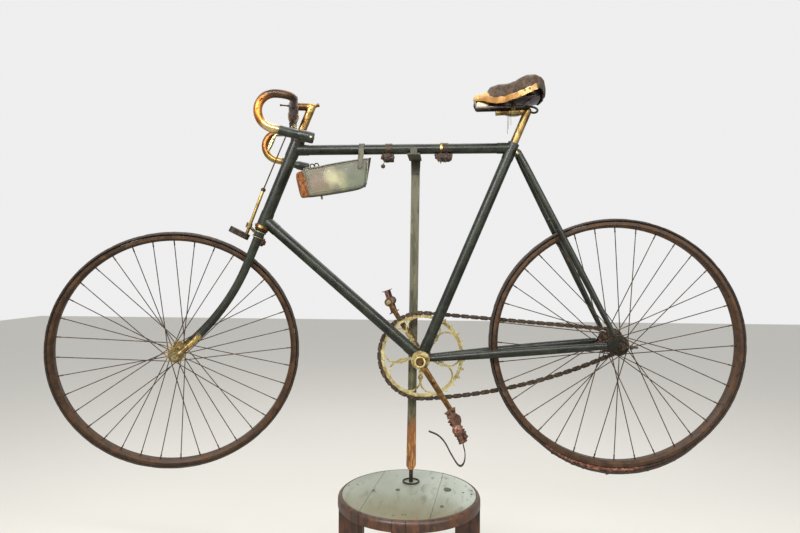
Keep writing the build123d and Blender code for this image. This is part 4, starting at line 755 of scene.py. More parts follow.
def saddlePoint(x, t, proud=0):
    # t runs from -1 at the left lower edge over the top to 1 at the right one
    half = between(x, saddle["half"])
    top = between(x, saddle["top"])
    edge = between(x, saddle["edge"])
    side = -1 if t < 0 else 1
    shoulder = top - (top - edge) * saddle["crown"] * 0.5
    if abs(t) < saddle["skirt"]:
        turn = abs(t) / saddle["skirt"] * math.pi / 2
        y = half * math.sin(turn) ** 0.9
        z = shoulder + (top - shoulder) * math.cos(turn) ** 0.8
    else:
        share = (abs(t) - saddle["skirt"]) / (1 - saddle["skirt"])
        y = half + 1.2 * math.sin(share * math.pi) - 2.5 * share * share
        z = shoulder + (edge - shoulder) * share
    return x, side * (y + proud), z


def saddleStep(share):
    # A place along the saddle; the steps are close where it bends
    run = saddle["run"]
    step = share * (len(run) - 1)
    first = min(int(step), len(run) - 2)
    return run[first] + (run[first + 1] - run[first]) * (step - first)


def coverPoint(u, v):
    return saddlePoint(saddleStep(v), -0.93 + 1.86 * u)


saddleSteps = (len(saddle["run"]) - 1) * 2
leather = shapedGrid("saddleCover", 44, saddleSteps, coverPoint)
# Dried out: dents over the top, and a torn ridge where the pad meets the nose
for vertex in leather.data.vertices:
    local = (vertex.co - bracket) / mm
    wave = noise.noise(local / 26) * 2.2 + noise.noise(local / 9) * 0.9
    fade = max(0, min(1, (local.x - 166) / 10))
    vertex.co.z += (wave * fade - 1.2 * fade) * mm
    vertex.co.y += noise.noise(local / 17 + Vector((9, 4, 2))) * 1.1 * fade * mm
thickened(leather, 4.5, -1)
smoothed(leather)
finishPiece(leather, "frame", saddleLeather, ["saddle_leather"], smooth=60)


def edgePlace(side):
    # The bare lower edge of the skirt
    def place(u, v):
        x = saddleStep(v)
        skirt = (between(x, saddle["top"]) - between(x, saddle["edge"])) * (1 - saddle["crown"] * 0.5)
        depth = saddle["bareEdge"] + 1.5 * noise.noise(Vector((x / 9, side, 0)))
        share = 1 - u * min(1, depth / skirt)
        x, y, z = saddlePoint(x, side * (saddle["skirt"] + (1 - saddle["skirt"]) * share), 6.6)
        return x, y, z - 1.5

    return place


edges = [shapedGrid("edge", 8, saddleSteps, edgePlace(side)) for side in (-1, 1)]
saddleBand = joined("saddleEdgeBand", edges)
for vertex in saddleBand.data.vertices:
    local = (vertex.co - bracket) / mm
    vertex.co.z += (noise.noise(local / 12) * 0.9 + noise.noise(local / 5) * 0.4) * mm
thickened(saddleBand, 2.6)
bevelled(saddleBand, 0.6, 2, 50)
finishPiece(saddleBand, "frame", saddleEdge, smooth=50)

rivet = turnedModel("rivet", [(-1.5, 4.2), (0.3, 4.2), (1.2, 3.2), (1.7, 1.6), (1.8, 0.5)], 14)
rivetPlaces = []
for x, t in ((305, -0.5), (309.5, -0.42), (309.5, 0.42), (305, 0.5), (298, -0.58), (298, 0.58), (145, 0.0)):
    point = spot(*saddlePoint(x, t))
    ahead = spot(*saddlePoint(x - 1.5, t)) - point
    beside = spot(*saddlePoint(x, t + 0.04)) - point
    normal = ahead.cross(beside).normalized()
    if normal.z < 0:
        normal = -normal
    rivetPlaces.append(standing(point, normal))
finishPiece(repeated("saddleRivets", rivet, rivetPlaces), "frame", brass)


def underPlate(u, v):
    # A dished steel plate between the rails and the rear of the cover
    x = 214 + 88 * v
    half = between(x, [(214, 8), (230, 30), (262, 50), (286, 54), (302, 34)])
    y = (u * 2 - 1) * half
    return x, y, 664.5 + 0.07 * (x - 214) + 6.5 * (y / 58) ** 2 + 1.5 * math.sin(v * 7)


plate = shapedGrid("saddleUnderPlate", 18, 18, underPlate)
thickened(plate, 2.0, -1)
bevelled(plate, 0.5, 1, 50)
finishPiece(plate, "frame", paleIron, smooth=50)

nutStations = [(0, 7.2), (0.8, 7.8), (4.5, 7.8), (5.5, 7.0), (5.6, 4), (8.6, 4), (9.2, 3.2)]
clipNut = turnedModel("clipNut", nutStations, 6)
nutPlaces = [standing(spot(236, side * 22.8, 656), (0, side, 0)) for side in (-1, 1)]
finishPiece(repeated("saddleClipNuts", clipNut, nutPlaces), "frame", darkIron, smooth=25)
armDirection = (-1, 0, -0.03)
armStations = [(0, 7.4), (0, 8.6), (1, 9.2), (14, 9.2), (15, 8.6), (15, 7.4)]
armBand = turnedPiece("seatArmBand", spot(262, 0, 646.6), armDirection, armStations, 28, solid=False)
finishPiece(armBand, "frame", brass)
capStations = [(-2, 7.0), (-1.6, 7.8), (0.4, 7.8), (1.2, 6.6), (1.3, 3.4), (0.6, 3.0), (0.6, 1)]
armCap = turnedPiece("seatArmEnd", spot(192.6, 0, 644.5), armDirection, capStations, 24)
finishPiece(armCap, "frame", postBrass)
# The wire at the nose is bent round and wrapped, with a pale block held in it
nosePath = [
    (166, 13, 679), (150, 9, 678), (140, 6, 674), (136.5, 5, 667), (138.5, 6, 659), (146, 8, 654.5),
    (160, 11, 653.5), (182, 15, 655), (204, 17, 655.6),
]
noseLoops = []
for side in (-1, 1):
    sidePath = [(x, side * y, z) for x, y, z in nosePath]
    noseLoops.append(wirePiece("noseLoop", spots(sidePath), 3.0))
finishPiece(joined("saddleNoseLoops", noseLoops), "frame", darkIron)
blockStations = [(0, 4.4), (1.4, 7.0), (7, 8.0), (16, 6.6), (27, 3.6), (31, 1.2)]
noseBlock = turnedPiece("saddleNoseBlock", spot(141.5, -11, 663), (1, -0.12, -0.14), blockStations, 16)
finishPiece(noseBlock, "frame", bone)
threads = []
for x, drop, lean in ((226, 40, -2), (230, 30, 1), (222.5, 54, -1)):
    threadPath = [
        (x, -9, 640),
        (x + lean * 0.2, -9.5, 640 - drop * 0.4),
        (x + lean, -9, 640 - drop * 0.75),
        (x + lean * 0.6, -9, 640 - drop),
    ]
    threads.append(wirePiece("thread", spots(threadPath), 0.5, sides=1))
finishPiece(joined("saddleThreads", threads), "frame", seamLeather)
tailPath = [
    (262, -6, 655), (270, -6, 657), (280, -8, 657.4), (291, -9, 655), (299, -9, 649.6), (298, -9, 643),
    (290, -8, 640.6), (281, -7, 643), (279, -6, 648),
]
tailHook = wirePiece("saddleTailHook", spots(tailPath), 2.8, sides=2)
finishPiece(tailHook, "frame", darkIron)
slingPath = [(214, -6, 637.6), (222, -7, 634.5), (236, -7.5, 632.8), (250, -7, 634.5), (258, -5, 638)]
sling = wirePiece("saddleSling", spots(slingPath), 1.3, sides=2)
finishPiece(sling, "frame", nickel)

print("tool bag")
bag = {
    "corner": (-138, -6, 527),
    "length": 190,
    "height": 72,
    "width": 50,
    "yaw": 29,
    "pitch": 13,
    "wall": 0.07,
    "softness": 0.42,
    "swell": 2.4,
    "plate": [(6, 0.6, -1), (184, 0.6, -2), (183, 1.0, 70), (28, 1.0, 72)],
    "gusset": [(-7, 8, -3), (12, 3, -1), (34, 3, 66), (22, 8, 65)],
    "tab": [(149, 3, 68), (155, 3, 68), (154, 4, 83), (150, 4, 83)],
    "rim": [
        (30, -1.8, 71), (24, -2.6, 56), (15, -2.8, 30), (7, -1.8, 2), (7, -1.6, -1), (60, -3.2, -2),
        (120, -3.4, -1.6),
        (150, -3.0, 1.0), (184, -1.8, -2), (186, -1.8, 2), (185, -2.6, 36), (184, -1.8, 68),
    ],
    "seam": [(185, -1.8, 68), (181, -1.8, 71.5), (100, -3.4, 74), (32, -1.8, 73.5), (26, -2.0, 62)],
    "stitching": [(12, 4), (178, 3), (177, 64), (33, 66)],
    "stitchStep": 5.2,
    "rings": (147, 159),
    "ringRadius": 5.8,
}
yaw = math.radians(bag["yaw"])
pitch = math.radians(bag["pitch"])
bagAlong = Vector((-math.cos(yaw) * math.cos(pitch), -math.sin(yaw) * math.cos(pitch), -math.sin(pitch)))
bagAcross = Vector((-math.sin(yaw), math.cos(yaw), 0))
bagDown = bagAlong.cross(bagAcross)


def bagSpot(along, across, down):
    return Vector(bag["corner"]) + bagAlong * along + bagAcross * across + bagDown * down


def bagSpots(points):
    return spots([bagSpot(*point) for point in points])


def bagPoint(u, v):
    # u goes round the section with its soft corners, v along the bag; both ends close in a flat wall
    wall = bag["wall"]
    along = max(0, min(1, (v - wall) / (1 - 2 * wall)))
    grow = min(1, v / wall, (1 - v) / wall) ** 0.6
    cosine = math.cos(u * 2 * math.pi)
    sine = math.sin(u * 2 * math.pi)
    across = math.copysign(abs(cosine) ** bag["softness"], cosine)
    down = math.copysign(abs(sine) ** bag["softness"], sine)
    rearSlant = 25 * (0.5 + down * 0.5) * (1 - along) ** 2 + 9 * (0.5 + across * 0.5) * along**4
    bulge = math.sin(along * math.pi) ** 0.7
    halfWidth = 22 + 2.2 * bulge
    halfHeight = 33.5 + 1.6 * bulge
    droop = 3.0 * math.sin(along * math.pi) * (0.5 + down * 0.5)
    dip = 2.4 * math.exp(-((along - 0.78) ** 2) / 0.02) * max(0, -down)
    return bagSpot(
        3 + along * (bag["length"] - 6) + rearSlant,
        bag["width"] / 2 + across * halfWidth * grow,
        bag["height"] / 2 + down * halfHeight * grow - 0.5 + droop * grow + dip,
    )


bagBody = shapedGrid("toolBagBody", 64, 58, bagPoint)
tidyNormals(bagBody, 0.00005)
for vertex in bagBody.data.vertices:
    local = (vertex.co - bracket) / mm
    vertex.co += noise.noise_vector(local / 34) * 1.6 * mm + noise.noise_vector(local / 11) * 0.35 * mm
smoothed(bagBody)
finishPiece(bagBody, "frame", bagRust, ["tool_bag"], smooth=60)


def bagPanel(name, corners, steps, thickness, swell, seed):
    # A flat panel of leather between four corners, each (along, across, down)
    corners = [Vector(corner) for corner in corners]

    def place(u, v):
        upper = corners[0].lerp(corners[1], u)
        lower = corners[3].lerp(corners[2], u)
        point = upper.lerp(lower, v)
        rise = swell * math.sin(u * math.pi) ** 0.6 * math.sin(v * math.pi) ** 0.6
        local = bagSpot(point.x, point.y - rise, point.z)
        return local + Vector((0, noise.noise(local / 22 + Vector((seed, 0, 0))), 0))

    return thickened(shapedGrid(name, *steps, place), thickness)


# The near side is one stiff plate of leather with a raised rim all round
face = bagPanel("toolBagFace", bag["plate"], (46, 20), 2.6, bag["swell"], 3)
bevelled(face, 0.8, 2, 60)
finishPiece(face, "frame", bagLeather, smooth=50)
rim = wirePiece("toolBagRim", bagSpots(bag["rim"]), 1.5, sides=2)
finishPiece(rim, "frame", bagLeather)
seam = wirePiece("toolBagSeam", bagSpots(bag["seam"]), 2.6, sides=2)
finishPiece(seam, "frame", seamLeather)
stitch = turnedModel("stitch", [(-1.7, 0.3), (-1.0, 0.55), (1.0, 0.55), (1.7, 0.3)], 5)
stitchPlaces = []
stitching = bag["stitching"]
for (firstAlong, firstDown), (lastAlong, lastDown) in zip(stitching, stitching[1:] + stitching[:1]):
    run = math.hypot(lastAlong - firstAlong, lastDown - firstDown)
    direction = bagAlong * (lastAlong - firstAlong) + bagDown * (lastDown - firstDown)
    for number in range(int(run / bag["stitchStep"])):
        share = (number + 0.5) * bag["stitchStep"] / run
        along = firstAlong + (lastAlong - firstAlong) * share
        down = firstDown + (lastDown - firstDown) * share
        # The stitches lie on the plate, which swells between its edges
        lengthwise = math.sin((along - 6) / 178 * math.pi) ** 0.6
        crosswise = math.sin(max(0.01, min(0.99, (down + 1) / 72)) * math.pi) ** 0.6
        foot = bagSpot(along, -1.0 - bag["swell"] * lengthwise * crosswise, down)
        stitchPlaces.append(standing(spot(*foot), direction))
finishPiece(repeated("toolBagStitches", stitch, stitchPlaces), "frame", darkLeather)
# The gusset at the rear stands out past the near side
gusset = bagPanel("toolBagGusset", bag["gusset"], (6, 12), 2.2, 1.0, 11)
finishPiece(gusset, "frame", wadLeather, smooth=50)
# Two wire rings on the top and a tab below
rings = []
for along in bag["rings"]:
    ringPoints = []
    for degrees in range(0, 360, 45):
        turn = math.radians(degrees)
        x = along + bag["ringRadius"] * math.cos(turn)
        ringPoints.append((x, 5, -4.5 + bag["ringRadius"] * math.sin(turn)))
    rings.append(wirePiece("ring", bagSpots(ringPoints), 1.5, closed=True, sides=2))
finishPiece(joined("toolBagRings", rings), "frame", darkIron)
tab = bagPanel("toolBagTab", bag["tab"], (4, 8), 1.8, 0.2, 5)
finishPiece(tab, "frame", darkLeather)

# The strap goes round the top tube, then down over the near side to a point
strap = {
    "x": -160,
    "width": 15,
    "gauge": 2.2,
    "path": [
        (13, 541), (15.2, 552), (11.5, 563.5), (0, 568.0), (-11.5, 563.5), (-15.4, 552), (-16.5, 540),
        (-19.5, 530), (-23.5, 524), (-24.5, 512), (-24.8, 503), (-25.2, 496),
    ],
}


def strapPoint(u, v):
    path = strap["path"]
    step = v * (len(path) - 1)
    first = min(int(step), len(path) - 2)
    y, z = Vector(path[first]).lerp(Vector(path[first + 1]), step - first)
    width = strap["width"] * min(1, (1 - v) / 0.09 + 0.25)
    return strap["x"] - 6.0 * max(0, v - 0.55) + (u - 0.5) * width, y, z


strapPiece = shapedGrid("bagStrapOver", 6, 44, strapPoint)
thickened(strapPiece, strap["gauge"])
smoothed(strapPiece)
finishPiece(strapPiece, "frame", darkLeather, ["bag_strap"], smooth=60)

print("tyres")
hubs = {"front": (-656, 0, 11), "rear": (498, 0, 45)}
tyreForm = {"radius": 322.0, "half": 17.0, "thickness": 9.0, "around": 16, "steps": 240}
sag = {
    "half": 38.0,
    "middle": 272.0,
    "offset": 45.5,
    "radius": 287.5,
    "rim": 312.0,
    "casing": 36.5,
    "torn": 34,
    "flakes": 90,
}


def aboutHub(hub, reach, across, turn):
    return hub[0] + reach * math.cos(turn), hub[1] + across, hub[2] + reach * math.sin(turn)


def sagReach(off):
    # How far from the hub the sagging tread hangs, at a turn off the middle of the sag
    across = sag["offset"] * math.sin(off)
    return sag["offset"] * math.cos(off) + math.sqrt(sag["radius"] ** 2 - across**2)


def tyrePoint(hub, sagging):
    def place(u, v):
        # u goes round the section, v round the wheel
        turn = v * 2 * math.pi
        reach = tyreForm["radius"]
        off = (math.degrees(turn) - sag["middle"] + 180) % 360 - 180
        if sagging and abs(off) < sag["half"]:
            reach = sagReach(math.radians(off))
        rise = math.sin(u * 2 * math.pi)
        swell = rise**0.8 * 0.5 if rise >= 0 else rise * 0.46
        height = reach + tyreForm["thickness"] * (swell - 0.5)
        if rise > 0.8:
            # A band of tread stands a little proud in the middle
            height = min(height + 0.25, reach)
        return aboutHub(hub, height, -math.cos(u * 2 * math.pi) * tyreForm["half"], turn)

    return place


def makeTyre(name, hub, sagging, seed):
    piece = shapedGrid(name, tyreForm["around"], tyreForm["steps"], tyrePoint(hub, sagging))
    tidyNormals(piece, 0.00005)
    centre = spot(*hub)
    for vertex in piece.data.vertices:
        local = (vertex.co - centre) / mm
        inward = -(vertex.co - centre).normalized()
        worn = max(0, noise.noise(local / 14 + Vector((seed, 0, 0)))) * 1.3
        vertex.co += inward * worn * mm
        vertex.co.y += noise.noise(local / 30 + Vector((0, seed, 0))) * 0.7 * mm
    return piece


frontTyre = steered(makeTyre("frontTyreTread", hubs["front"], False, 3))
finishPiece(frontTyre, "front_wheel", tyre, ["front_tyre"], smooth=50)
rearTyre = makeTyre("rearTyreTread", hubs["rear"], True, 8)
finishPiece(rearTyre, "rear_wheel", tyre, ["rear_tyre"], smooth=50)


def casingPoint(u, v):
    # Torn canvas fills the space between the rim and the sagging tread
    off = math.radians(sag["casing"] * (2 * v - 1))
    outer = sagReach(off) - 3.0
    half = max(2.0, (outer - sag["rim"]) / 2)
    around = u * 2 * math.pi
    height = (sag["rim"] + outer) / 2 + half * math.sin(around)
    across = -math.cos(around) * (13.0 + 2.5 * noise.noise(Vector((v * 40, math.sin(around), 0))))
    return aboutHub(hubs["rear"], height, across, math.radians(sag["middle"]) + off)


casing = shapedGrid("rearTyreCasing", 12, 150, casingPoint)
tidyNormals(casing, 0.00005)
roughened(casing, 1.3, 7, 5)
finishPiece(casing, "rear_wheel", tornCanvas, smooth=40)
random.seed(4)
flakes = []
for number in range(sag["flakes"]):
    off = random.uniform(-sag["torn"], sag["torn"])
    turn = math.radians(sag["middle"] + off)
    size = random.uniform(2.0, 5.5)
    side = random.uniform(-15, 15)
    flake = startPiece("flake", bpy.ops.mesh.primitive_ico_sphere_add, subdivisions=1, radius=size * mm)
    stretch = (random.uniform(0.7, 1.6), random.uniform(0.25, 0.5), random.uniform(0.5, 1.0), 1)
    flake.data.transform(Matrix.Diagonal(stretch))
    pitched = Matrix.Rotation(random.uniform(-0.6, 0.6), 4, "Y")
    flake.data.transform(pitched @ Matrix.Rotation(random.uniform(-0.5, 0.5), 4, "Z"))
    flake.data.transform(Matrix.Rotation(-turn - math.pi / 2, 4, "Y"))
    reach = sagReach(math.radians(off)) - 1.5 + random.uniform(-3, 1.5) - abs(side) * 0.18
    flake.data.transform(Matrix.Translation(spot(*aboutHub(hubs["rear"], reach, side, turn))))
    roughened(flake, 0.8, 4, number)
    flakes.append(flake)
finishPiece(joined("rearTyreTatters", flakes), "rear_wheel", tornCanvas, smooth=0)

print("wheels")
wheelForm = {
    "sets": 9,
    "lean": 68.0,
    "reach": 298.6,
    "nipple": 12.0,
    "cross": 4.4,
    "flanges": {"front": (-33, 33), "rear": (-38, 27)},
    "holes": {"front": 17, "rear": 23},
    "stations": [(0, 1.4), (0.8, 1.9), (3, 2.2), (3.2, 1.7), (10, 1.7), (12.4, 2.0)],
}


def nipplePlaces(wheel):
    places = []
    for side, flange in zip((-1, 1), wheelForm["flanges"][wheel]):
        for number, lean in enumerate((-wheelForm["lean"], wheelForm["lean"])):
            across = flange + side * (number - 0.5) * wheelForm["cross"]
            first = number * 20 + (10 if side > 0 else 0)
            for step in range(wheelForm["sets"]):
                rimTurn = math.radians(first + step * 40)
                hubTurn = rimTurn + math.radians(lean)
                inner = Vector(aboutHub(hubs[wheel], wheelForm["holes"][wheel], across, hubTurn))
                outer = Vector(aboutHub(hubs[wheel], wheelForm["reach"], side * 2, rimTurn))
                direction = (outer - inner).normalized()
                places.append(standing(spot(*(outer - direction * wheelForm["nipple"])), direction))
    return places


def makeNipples(wheel):
    nipple = turnedModel("nipple", wheelForm["stations"], 8)
    return repeated(wheel + "Nipples", nipple, nipplePlaces(wheel))


finishPiece(steered(makeNipples("front")), "front_wheel", spokeSteel)
finishPiece(makeNipples("rear"), "rear_wheel", spokeSteel)

print("chain")
chainForm = {
    "pitch": 25.12,
    "pitches": 59,
    "ringTeeth": 29,
    "cogTeeth": 8,
    "cog": (498.0, 45.0),
    "sagArc": 1381.72,
    "line": 44.0,
}
cogX, cogZ = chainForm["cog"]
ringRadius = chainForm["pitch"] / (2 * math.sin(math.pi / chainForm["ringTeeth"]))
cogRadius = chainForm["pitch"] / (2 * math.sin(math.pi / chainForm["cogTeeth"]))
centreRun = math.hypot(cogX, cogZ)
centreTurn = math.atan2(cogZ, cogX)
upperTurn = centreTurn + math.acos((ringRadius - cogRadius) / centreRun)
# The lower run hangs in an arc that meets both toothed wheels
toRing = chainForm["sagArc"] - ringRadius
toCog = chainForm["sagArc"] - cogRadius
arcLean = math.acos((toRing**2 + centreRun**2 - toCog**2) / (2 * toRing * centreRun))
slackX = toRing * math.cos(centreTurn + arcLean)
slackZ = toRing * math.sin(centreTurn + arcLean)
leaveTurn = math.atan2(-slackZ, -slackX)
meetTurn = math.atan2(cogZ - slackZ, cogX - slackX)
ringWrap = (leaveTurn % (2 * math.pi) - upperTurn) * chainForm["ringTeeth"] / (2 * math.pi)
slackRun = (meetTurn - leaveTurn) * chainForm["sagArc"] / chainForm["pitch"]
cogWrap = (upperTurn - meetTurn) * chainForm["cogTeeth"] / (2 * math.pi)


def onArc(x, z, radius, turn):
    return x + radius * math.cos(turn), z + radius * math.sin(turn)


def chainSpot(place):
    # The chain's line from the top of the ring, round it, along the slack run and back over the cog
    place %= chainForm["pitches"]
    if place < ringWrap:
        return onArc(0, 0, ringRadius, upperTurn + place * 2 * math.pi / chainForm["ringTeeth"])
    place -= ringWrap
    if place < slackRun:
        turn = leaveTurn + place * chainForm["pitch"] / chainForm["sagArc"]
        return onArc(slackX, slackZ, chainForm["sagArc"], turn)
    place -= slackRun
    if place < cogWrap:
        return onArc(cogX, cogZ, cogRadius, meetTurn + place * 2 * math.pi / chainForm["cogTeeth"])
    startX, startZ = onArc(cogX, cogZ, cogRadius, upperTurn)
    run = (place - cogWrap) * chainForm["pitch"]
    return startX - run * math.sin(upperTurn), startZ + run * math.cos(upperTurn)


# Only the heads, so that the ring's teeth pass between them as it turns
headStations = [(4.2, 2.4), (5.4, 2.3), (5.9, 1.2)]
rivetHeads = [turnedPiece("rivetHead", (0, 0, 0), (0, side, 0), headStations, 8) for side in (-1, 1)]
chainRivet = joined("chainRivet", rivetHeads)
rivetSpots = []
for number in range(chainForm["pitches"]):
    for share in (0.0, 0.4):
        x, z = chainSpot(number + share)
        rivetSpots.append(Matrix.Translation(spot(x, chainForm["line"], z)))
finishPiece(repeated("chainRivets", chainRivet, rivetSpots), "frame", chainSteel)

print("crank and pedals")
crank = {
    "turn": 123.0,
    "length": 170,
    "face": 72.2,
    "eye": 59.6,
    "barrel": 82,
    "dustCap": 170.4,
    "axleStations": [(-1, 8.6), (0.6, 8.8), (1.4, 8.0), (1.0, 5.0), (1.6, 3.2), (1.7, 0.8)],
    "bossStations": [(-2, 10.2), (0.2, 10.2), (0.9, 11.0), (0.9, 13.2), (0.2, 14.3), (-2, 14.3), (-2, 10.2)],
    "eyeStations": [(-1, 6.6), (1.6, 6.6), (2.2, 6.0), (2.3, 2.6), (1.6, 2.2), (1.6, 0.6)],
    "dustStations": [
        (-2, 12.2), (0, 12.0), (0.3, 10.6), (1.5, 10.4), (4.0, 9.4), (5.4, 7.6), (5.8, 4.0), (5.2, 1.5),
    ],
    "barrelStations": [
        (0, 9.2), (1, 11.2), (6, 11.4), (8, 9.6), (30, 9.4), (42, 9.9), (54, 9.4), (76, 9.6), (78, 11.4),
        (83, 11.2), (84, 9.2),
    ],
}
facePlaces = [standing(spot(0, side * crank["face"], 0), (0, side, 0)) for side in (-1, 1)]
axleCap = turnedModel("axleCap", crank["axleStations"], 24)
finishPiece(repeated("crankAxleCaps", axleCap, facePlaces), "crank", crankSteel)
bossRing = turnedModel("bossRing", crank["bossStations"], 36, solid=False)
finishPiece(repeated("crankBossRings", bossRing, facePlaces), "crank", ringBrass)
eyePlaces = []
for name, side in (("left", -1), ("right", 1)):
    body = "pedal_" + name
    outward = (0, side, 0)
    eyeX, eyeZ = onArc(0, 0, side * crank["length"], math.radians(crank["turn"]))
    eyePlaces.append(standing(spot(eyeX, side * crank["eye"], eyeZ), (0, -side, 0)))
    capFoot = spot(eyeX, side * crank["dustCap"], eyeZ)
    dustCap = turnedPiece(name + "PedalDustCap", capFoot, outward, crank["dustStations"], 24)
    finishPiece(dustCap, body, copperCap)
    barrelFoot = spot(eyeX, side * crank["barrel"], eyeZ)
    barrel = turnedPiece(name + "PedalBarrel", barrelFoot, outward, crank["barrelStations"], 20)
    finishPiece(barrel, body, rust)
eyeNut = turnedModel("eyeNut", crank["eyeStations"], 20)
finishPiece(repeated("pedalEyeEnds", eyeNut, eyePlaces), "crank", nickel)

print("head, fork and bar")
headForm = {
    "length": 250.0,
    "lowerRing": [
        (-6, 17.6), (-6, 19.6), (-5.2, 20.6),
        (-2.6, 20.6), (-2.0, 20.0), (-1.4, 20.6), (1.2, 20.6), (2.0, 19.6),
        (2.0, 17),
    ],
    "lowerStack": [
        (1.8, 17), (2.0, 18.2), (3.2, 18.2), (3.6, 17.2), (4.4, 17.2), (4.8, 18.4), (6.2, 18.4), (6.6, 17.2),
        (7.2, 17.2), (7.8, 17.8), (8.9, 16.4), (8.9, 14),
    ],
    "upperStack": [
        (-3, 17.4), (-3, 18.4), (0.2, 19.4), (3.4, 19.4), (4, 18.3), (5, 18.3), (5.6, 19.0), (8, 18.6),
        (8.9, 16.8), (8.9, 14),
    ],
    "locknut": [
        (0, 13), (0, 17.2), (0.8, 18.2), (4.2, 18.2), (4.8, 17.0), (5.4, 17.0), (6.0, 17.8), (8.4, 17.0),
        (8.8, 13),
    ],
}


def headSpot(height):
    return steeringFoot + steeringAxis * height * mm


lowerRing = turnedPiece("lowerHeadRing", headSpot(0), -steeringAxis, headForm["lowerRing"], 40)
finishPiece(lowerRing, "frame", ringCopper, ["head_cups"])
lowerStack = turnedPiece("lowerHeadBearing", headSpot(0), -steeringAxis, headForm["lowerStack"], 40)
upperStack = turnedPiece(
    "upperHeadBearing", headSpot(headForm["length"]), steeringAxis, headForm["upperStack"], 40,
)
finishPiece(joined("headBearings", [lowerStack, upperStack]), "frame", darkIron)

crown = {
    "foot": -27.3,
    "edges": (1.5, 16.5),
    "plateSpread": 35,
    "plateEnd": 11.1,
    "plateDepth": 14.6,
    "nut": [(0, 6.0), (2, 10.4), (3, 11.6), (9, 11.6), (10.6, 10.4), (11.4, 7.0), (14.6, 6.2), (15.4, 4.0)],
}
forward = Vector((-steeringAxis.z, 0, steeringAxis.x))
crownEdges = []
for height in crown["edges"]:
    outline = []
    for side in (1, -1):
        for step in range(9):
            turn = math.radians(-90 + 22.5 * step)
            sideways = side * (crown["plateSpread"] + crown["plateEnd"] * math.cos(turn))
            ahead = forward * side * crown["plateDepth"] * math.sin(turn)
            outline.append(headSpot(crown["foot"] + height) + (Vector((0, sideways, 0)) + ahead) * mm)
    crownEdges.append(wirePiece("crownEdge", outline, 1.1, closed=True, sides=2, order=2))
finishPiece(steered(joined("crownPlateEdges", crownEdges)), "steering", nickel)
nutFoot = headSpot(crown["foot"] - 9) - forward * 9 * mm
knob = turnedPiece("crownRearNut", nutFoot, -forward, crown["nut"], 18)
finishPiece(steered(knob), "steering", crownNutIron)
locknut = turnedPiece(
    "headLocknutRing", headSpot(headForm["length"] + 9.4), steeringAxis, headForm["locknut"], 32,
)
finishPiece(locknut, "steering", darkIron, ["head_locknut"])

barForm = {
    "centre": (-345, 0, 641.6),
    "tilt": 6.3,
    "corner": 41.5,
    "half": 203.5,
    "hook": 41.2,
    "slope": 12.0,
    "peg": [(0, 2.6), (6, 2.6), (7, 1.8), (20, 1.8), (21, 2.6), (24, 2.6), (25, 1.4)],
    "bolt": [(0, 5.4), (4, 5.4), (4.4, 4.2), (9, 4.2), (9.4, 5.2), (13.4, 5.2), (14.2, 4.4), (14.4, 2)],
    "cap": [(-1, 3.8), (0.2, 3.8), (0.9, 3.0), (1.2, 1.4)],
    "pin": [(0, 2.4), (2.4, 2.4), (3.2, 1.6), (3.4, 0.6)],
}


def barSpot(forward, sideways, up):
    # A point on the untilted bar, straight ahead, brought to its tilt
    tilt = math.radians(barForm["tilt"])
    y = sideways * math.cos(tilt) + up * math.sin(tilt)
    z = up * math.cos(tilt) - sideways * math.sin(tilt)
    return spot(barForm["centre"][0] - forward, y, barForm["centre"][2] + z)


barDirection = (barSpot(0, 100, 0) - barSpot(0, 0, 0)).normalized()
clampStations = [(-112, 10.2), (-112, 11.0), (-110, 11.6)]
for band in range(9):
    foot = -108 + band * 11.0
    clampStations += [(foot, 11.5), (foot + 0.8, 12.3), (foot + 5.6, 12.3), (foot + 6.4, 11.5)]
clampStations += [(-8, 11.6), (-7, 14.4), (9, 14.4), (10, 11.8), (22, 11.6), (23, 10.2), (-112, 10.2)]
clamp = turnedPiece("stemClampBands", barSpot(0, 0, 0), barDirection, clampStations, 36, solid=False)
finishPiece(steered(clamp, barRest), "steering", paleIron)
pegFoot = barSpot(9, -96, 1)
peg = turnedPiece("barPeg", pegFoot, barSpot(34, -98, 2) - pegFoot, barForm["peg"], 8)
finishPiece(steered(peg, barRest), "steering", darkIron, smooth=25)
bolt = turnedPiece("stemBolt", spot(-290, 0, 669), (0.93, 0, 0.36), barForm["bolt"], 12)
finishPiece(steered(bolt, barRest), "steering", stemMetal, smooth=25)

slope = math.radians(barForm["slope"])
hookTurn = math.radians(270) - slope
hookX = barForm["corner"] - barForm["hook"] * math.cos(hookTurn)
hookEnd = Vector((hookX, barForm["hook"] * (math.sin(hookTurn) - 1)))
backward = Vector((-math.cos(slope), -math.sin(slope)))
gripStations = [(14, 10.2), (14, 10.9), (15, 11.3), (18, 11.3), (19, 10.9)]
for step in range(1, 9):
    height = 19 + step * 4.6
    gripStations += [(height - 0.7, 10.95), (height, 10.6)]
gripStations += [
    (58, 11.2), (62, 12.6), (66, 13.1), (80, 13.3), (90, 13.4), (94.5, 12.8), (96, 11.0), (96.3, 4.0),
]


def hookSpot(side, run):
    # A point on the straight end of the bar, in mm past the hook
    place = hookEnd + backward * run
    return barSpot(place.x, side * barForm["half"], place.y)


grips = []
caps = []
for side in (-1, 1):
    outward = Vector((0, side, 0))
    gripStart = hookSpot(side, 2)
    direction = (hookSpot(side, 102) - gripStart).normalized()
    grips.append(turnedPiece("grip", gripStart, direction, gripStations, 28))
    caps.append(turnedPiece("cap", gripStart + direction * 96.0 * mm, direction, barForm["cap"], 16))
    pinFoot = gripStart + (direction * 88 + outward * 11) * mm
    caps.append(turnedPiece("pin", pinFoot, outward, barForm["pin"], 12))
barGrips = steered(joined("barGrips", grips), barRest)
finishPiece(barGrips, "steering", rubber, ["grips"], smooth=50)
finishPiece(steered(joined("gripEndPlugs", caps), barRest), "steering", bone)

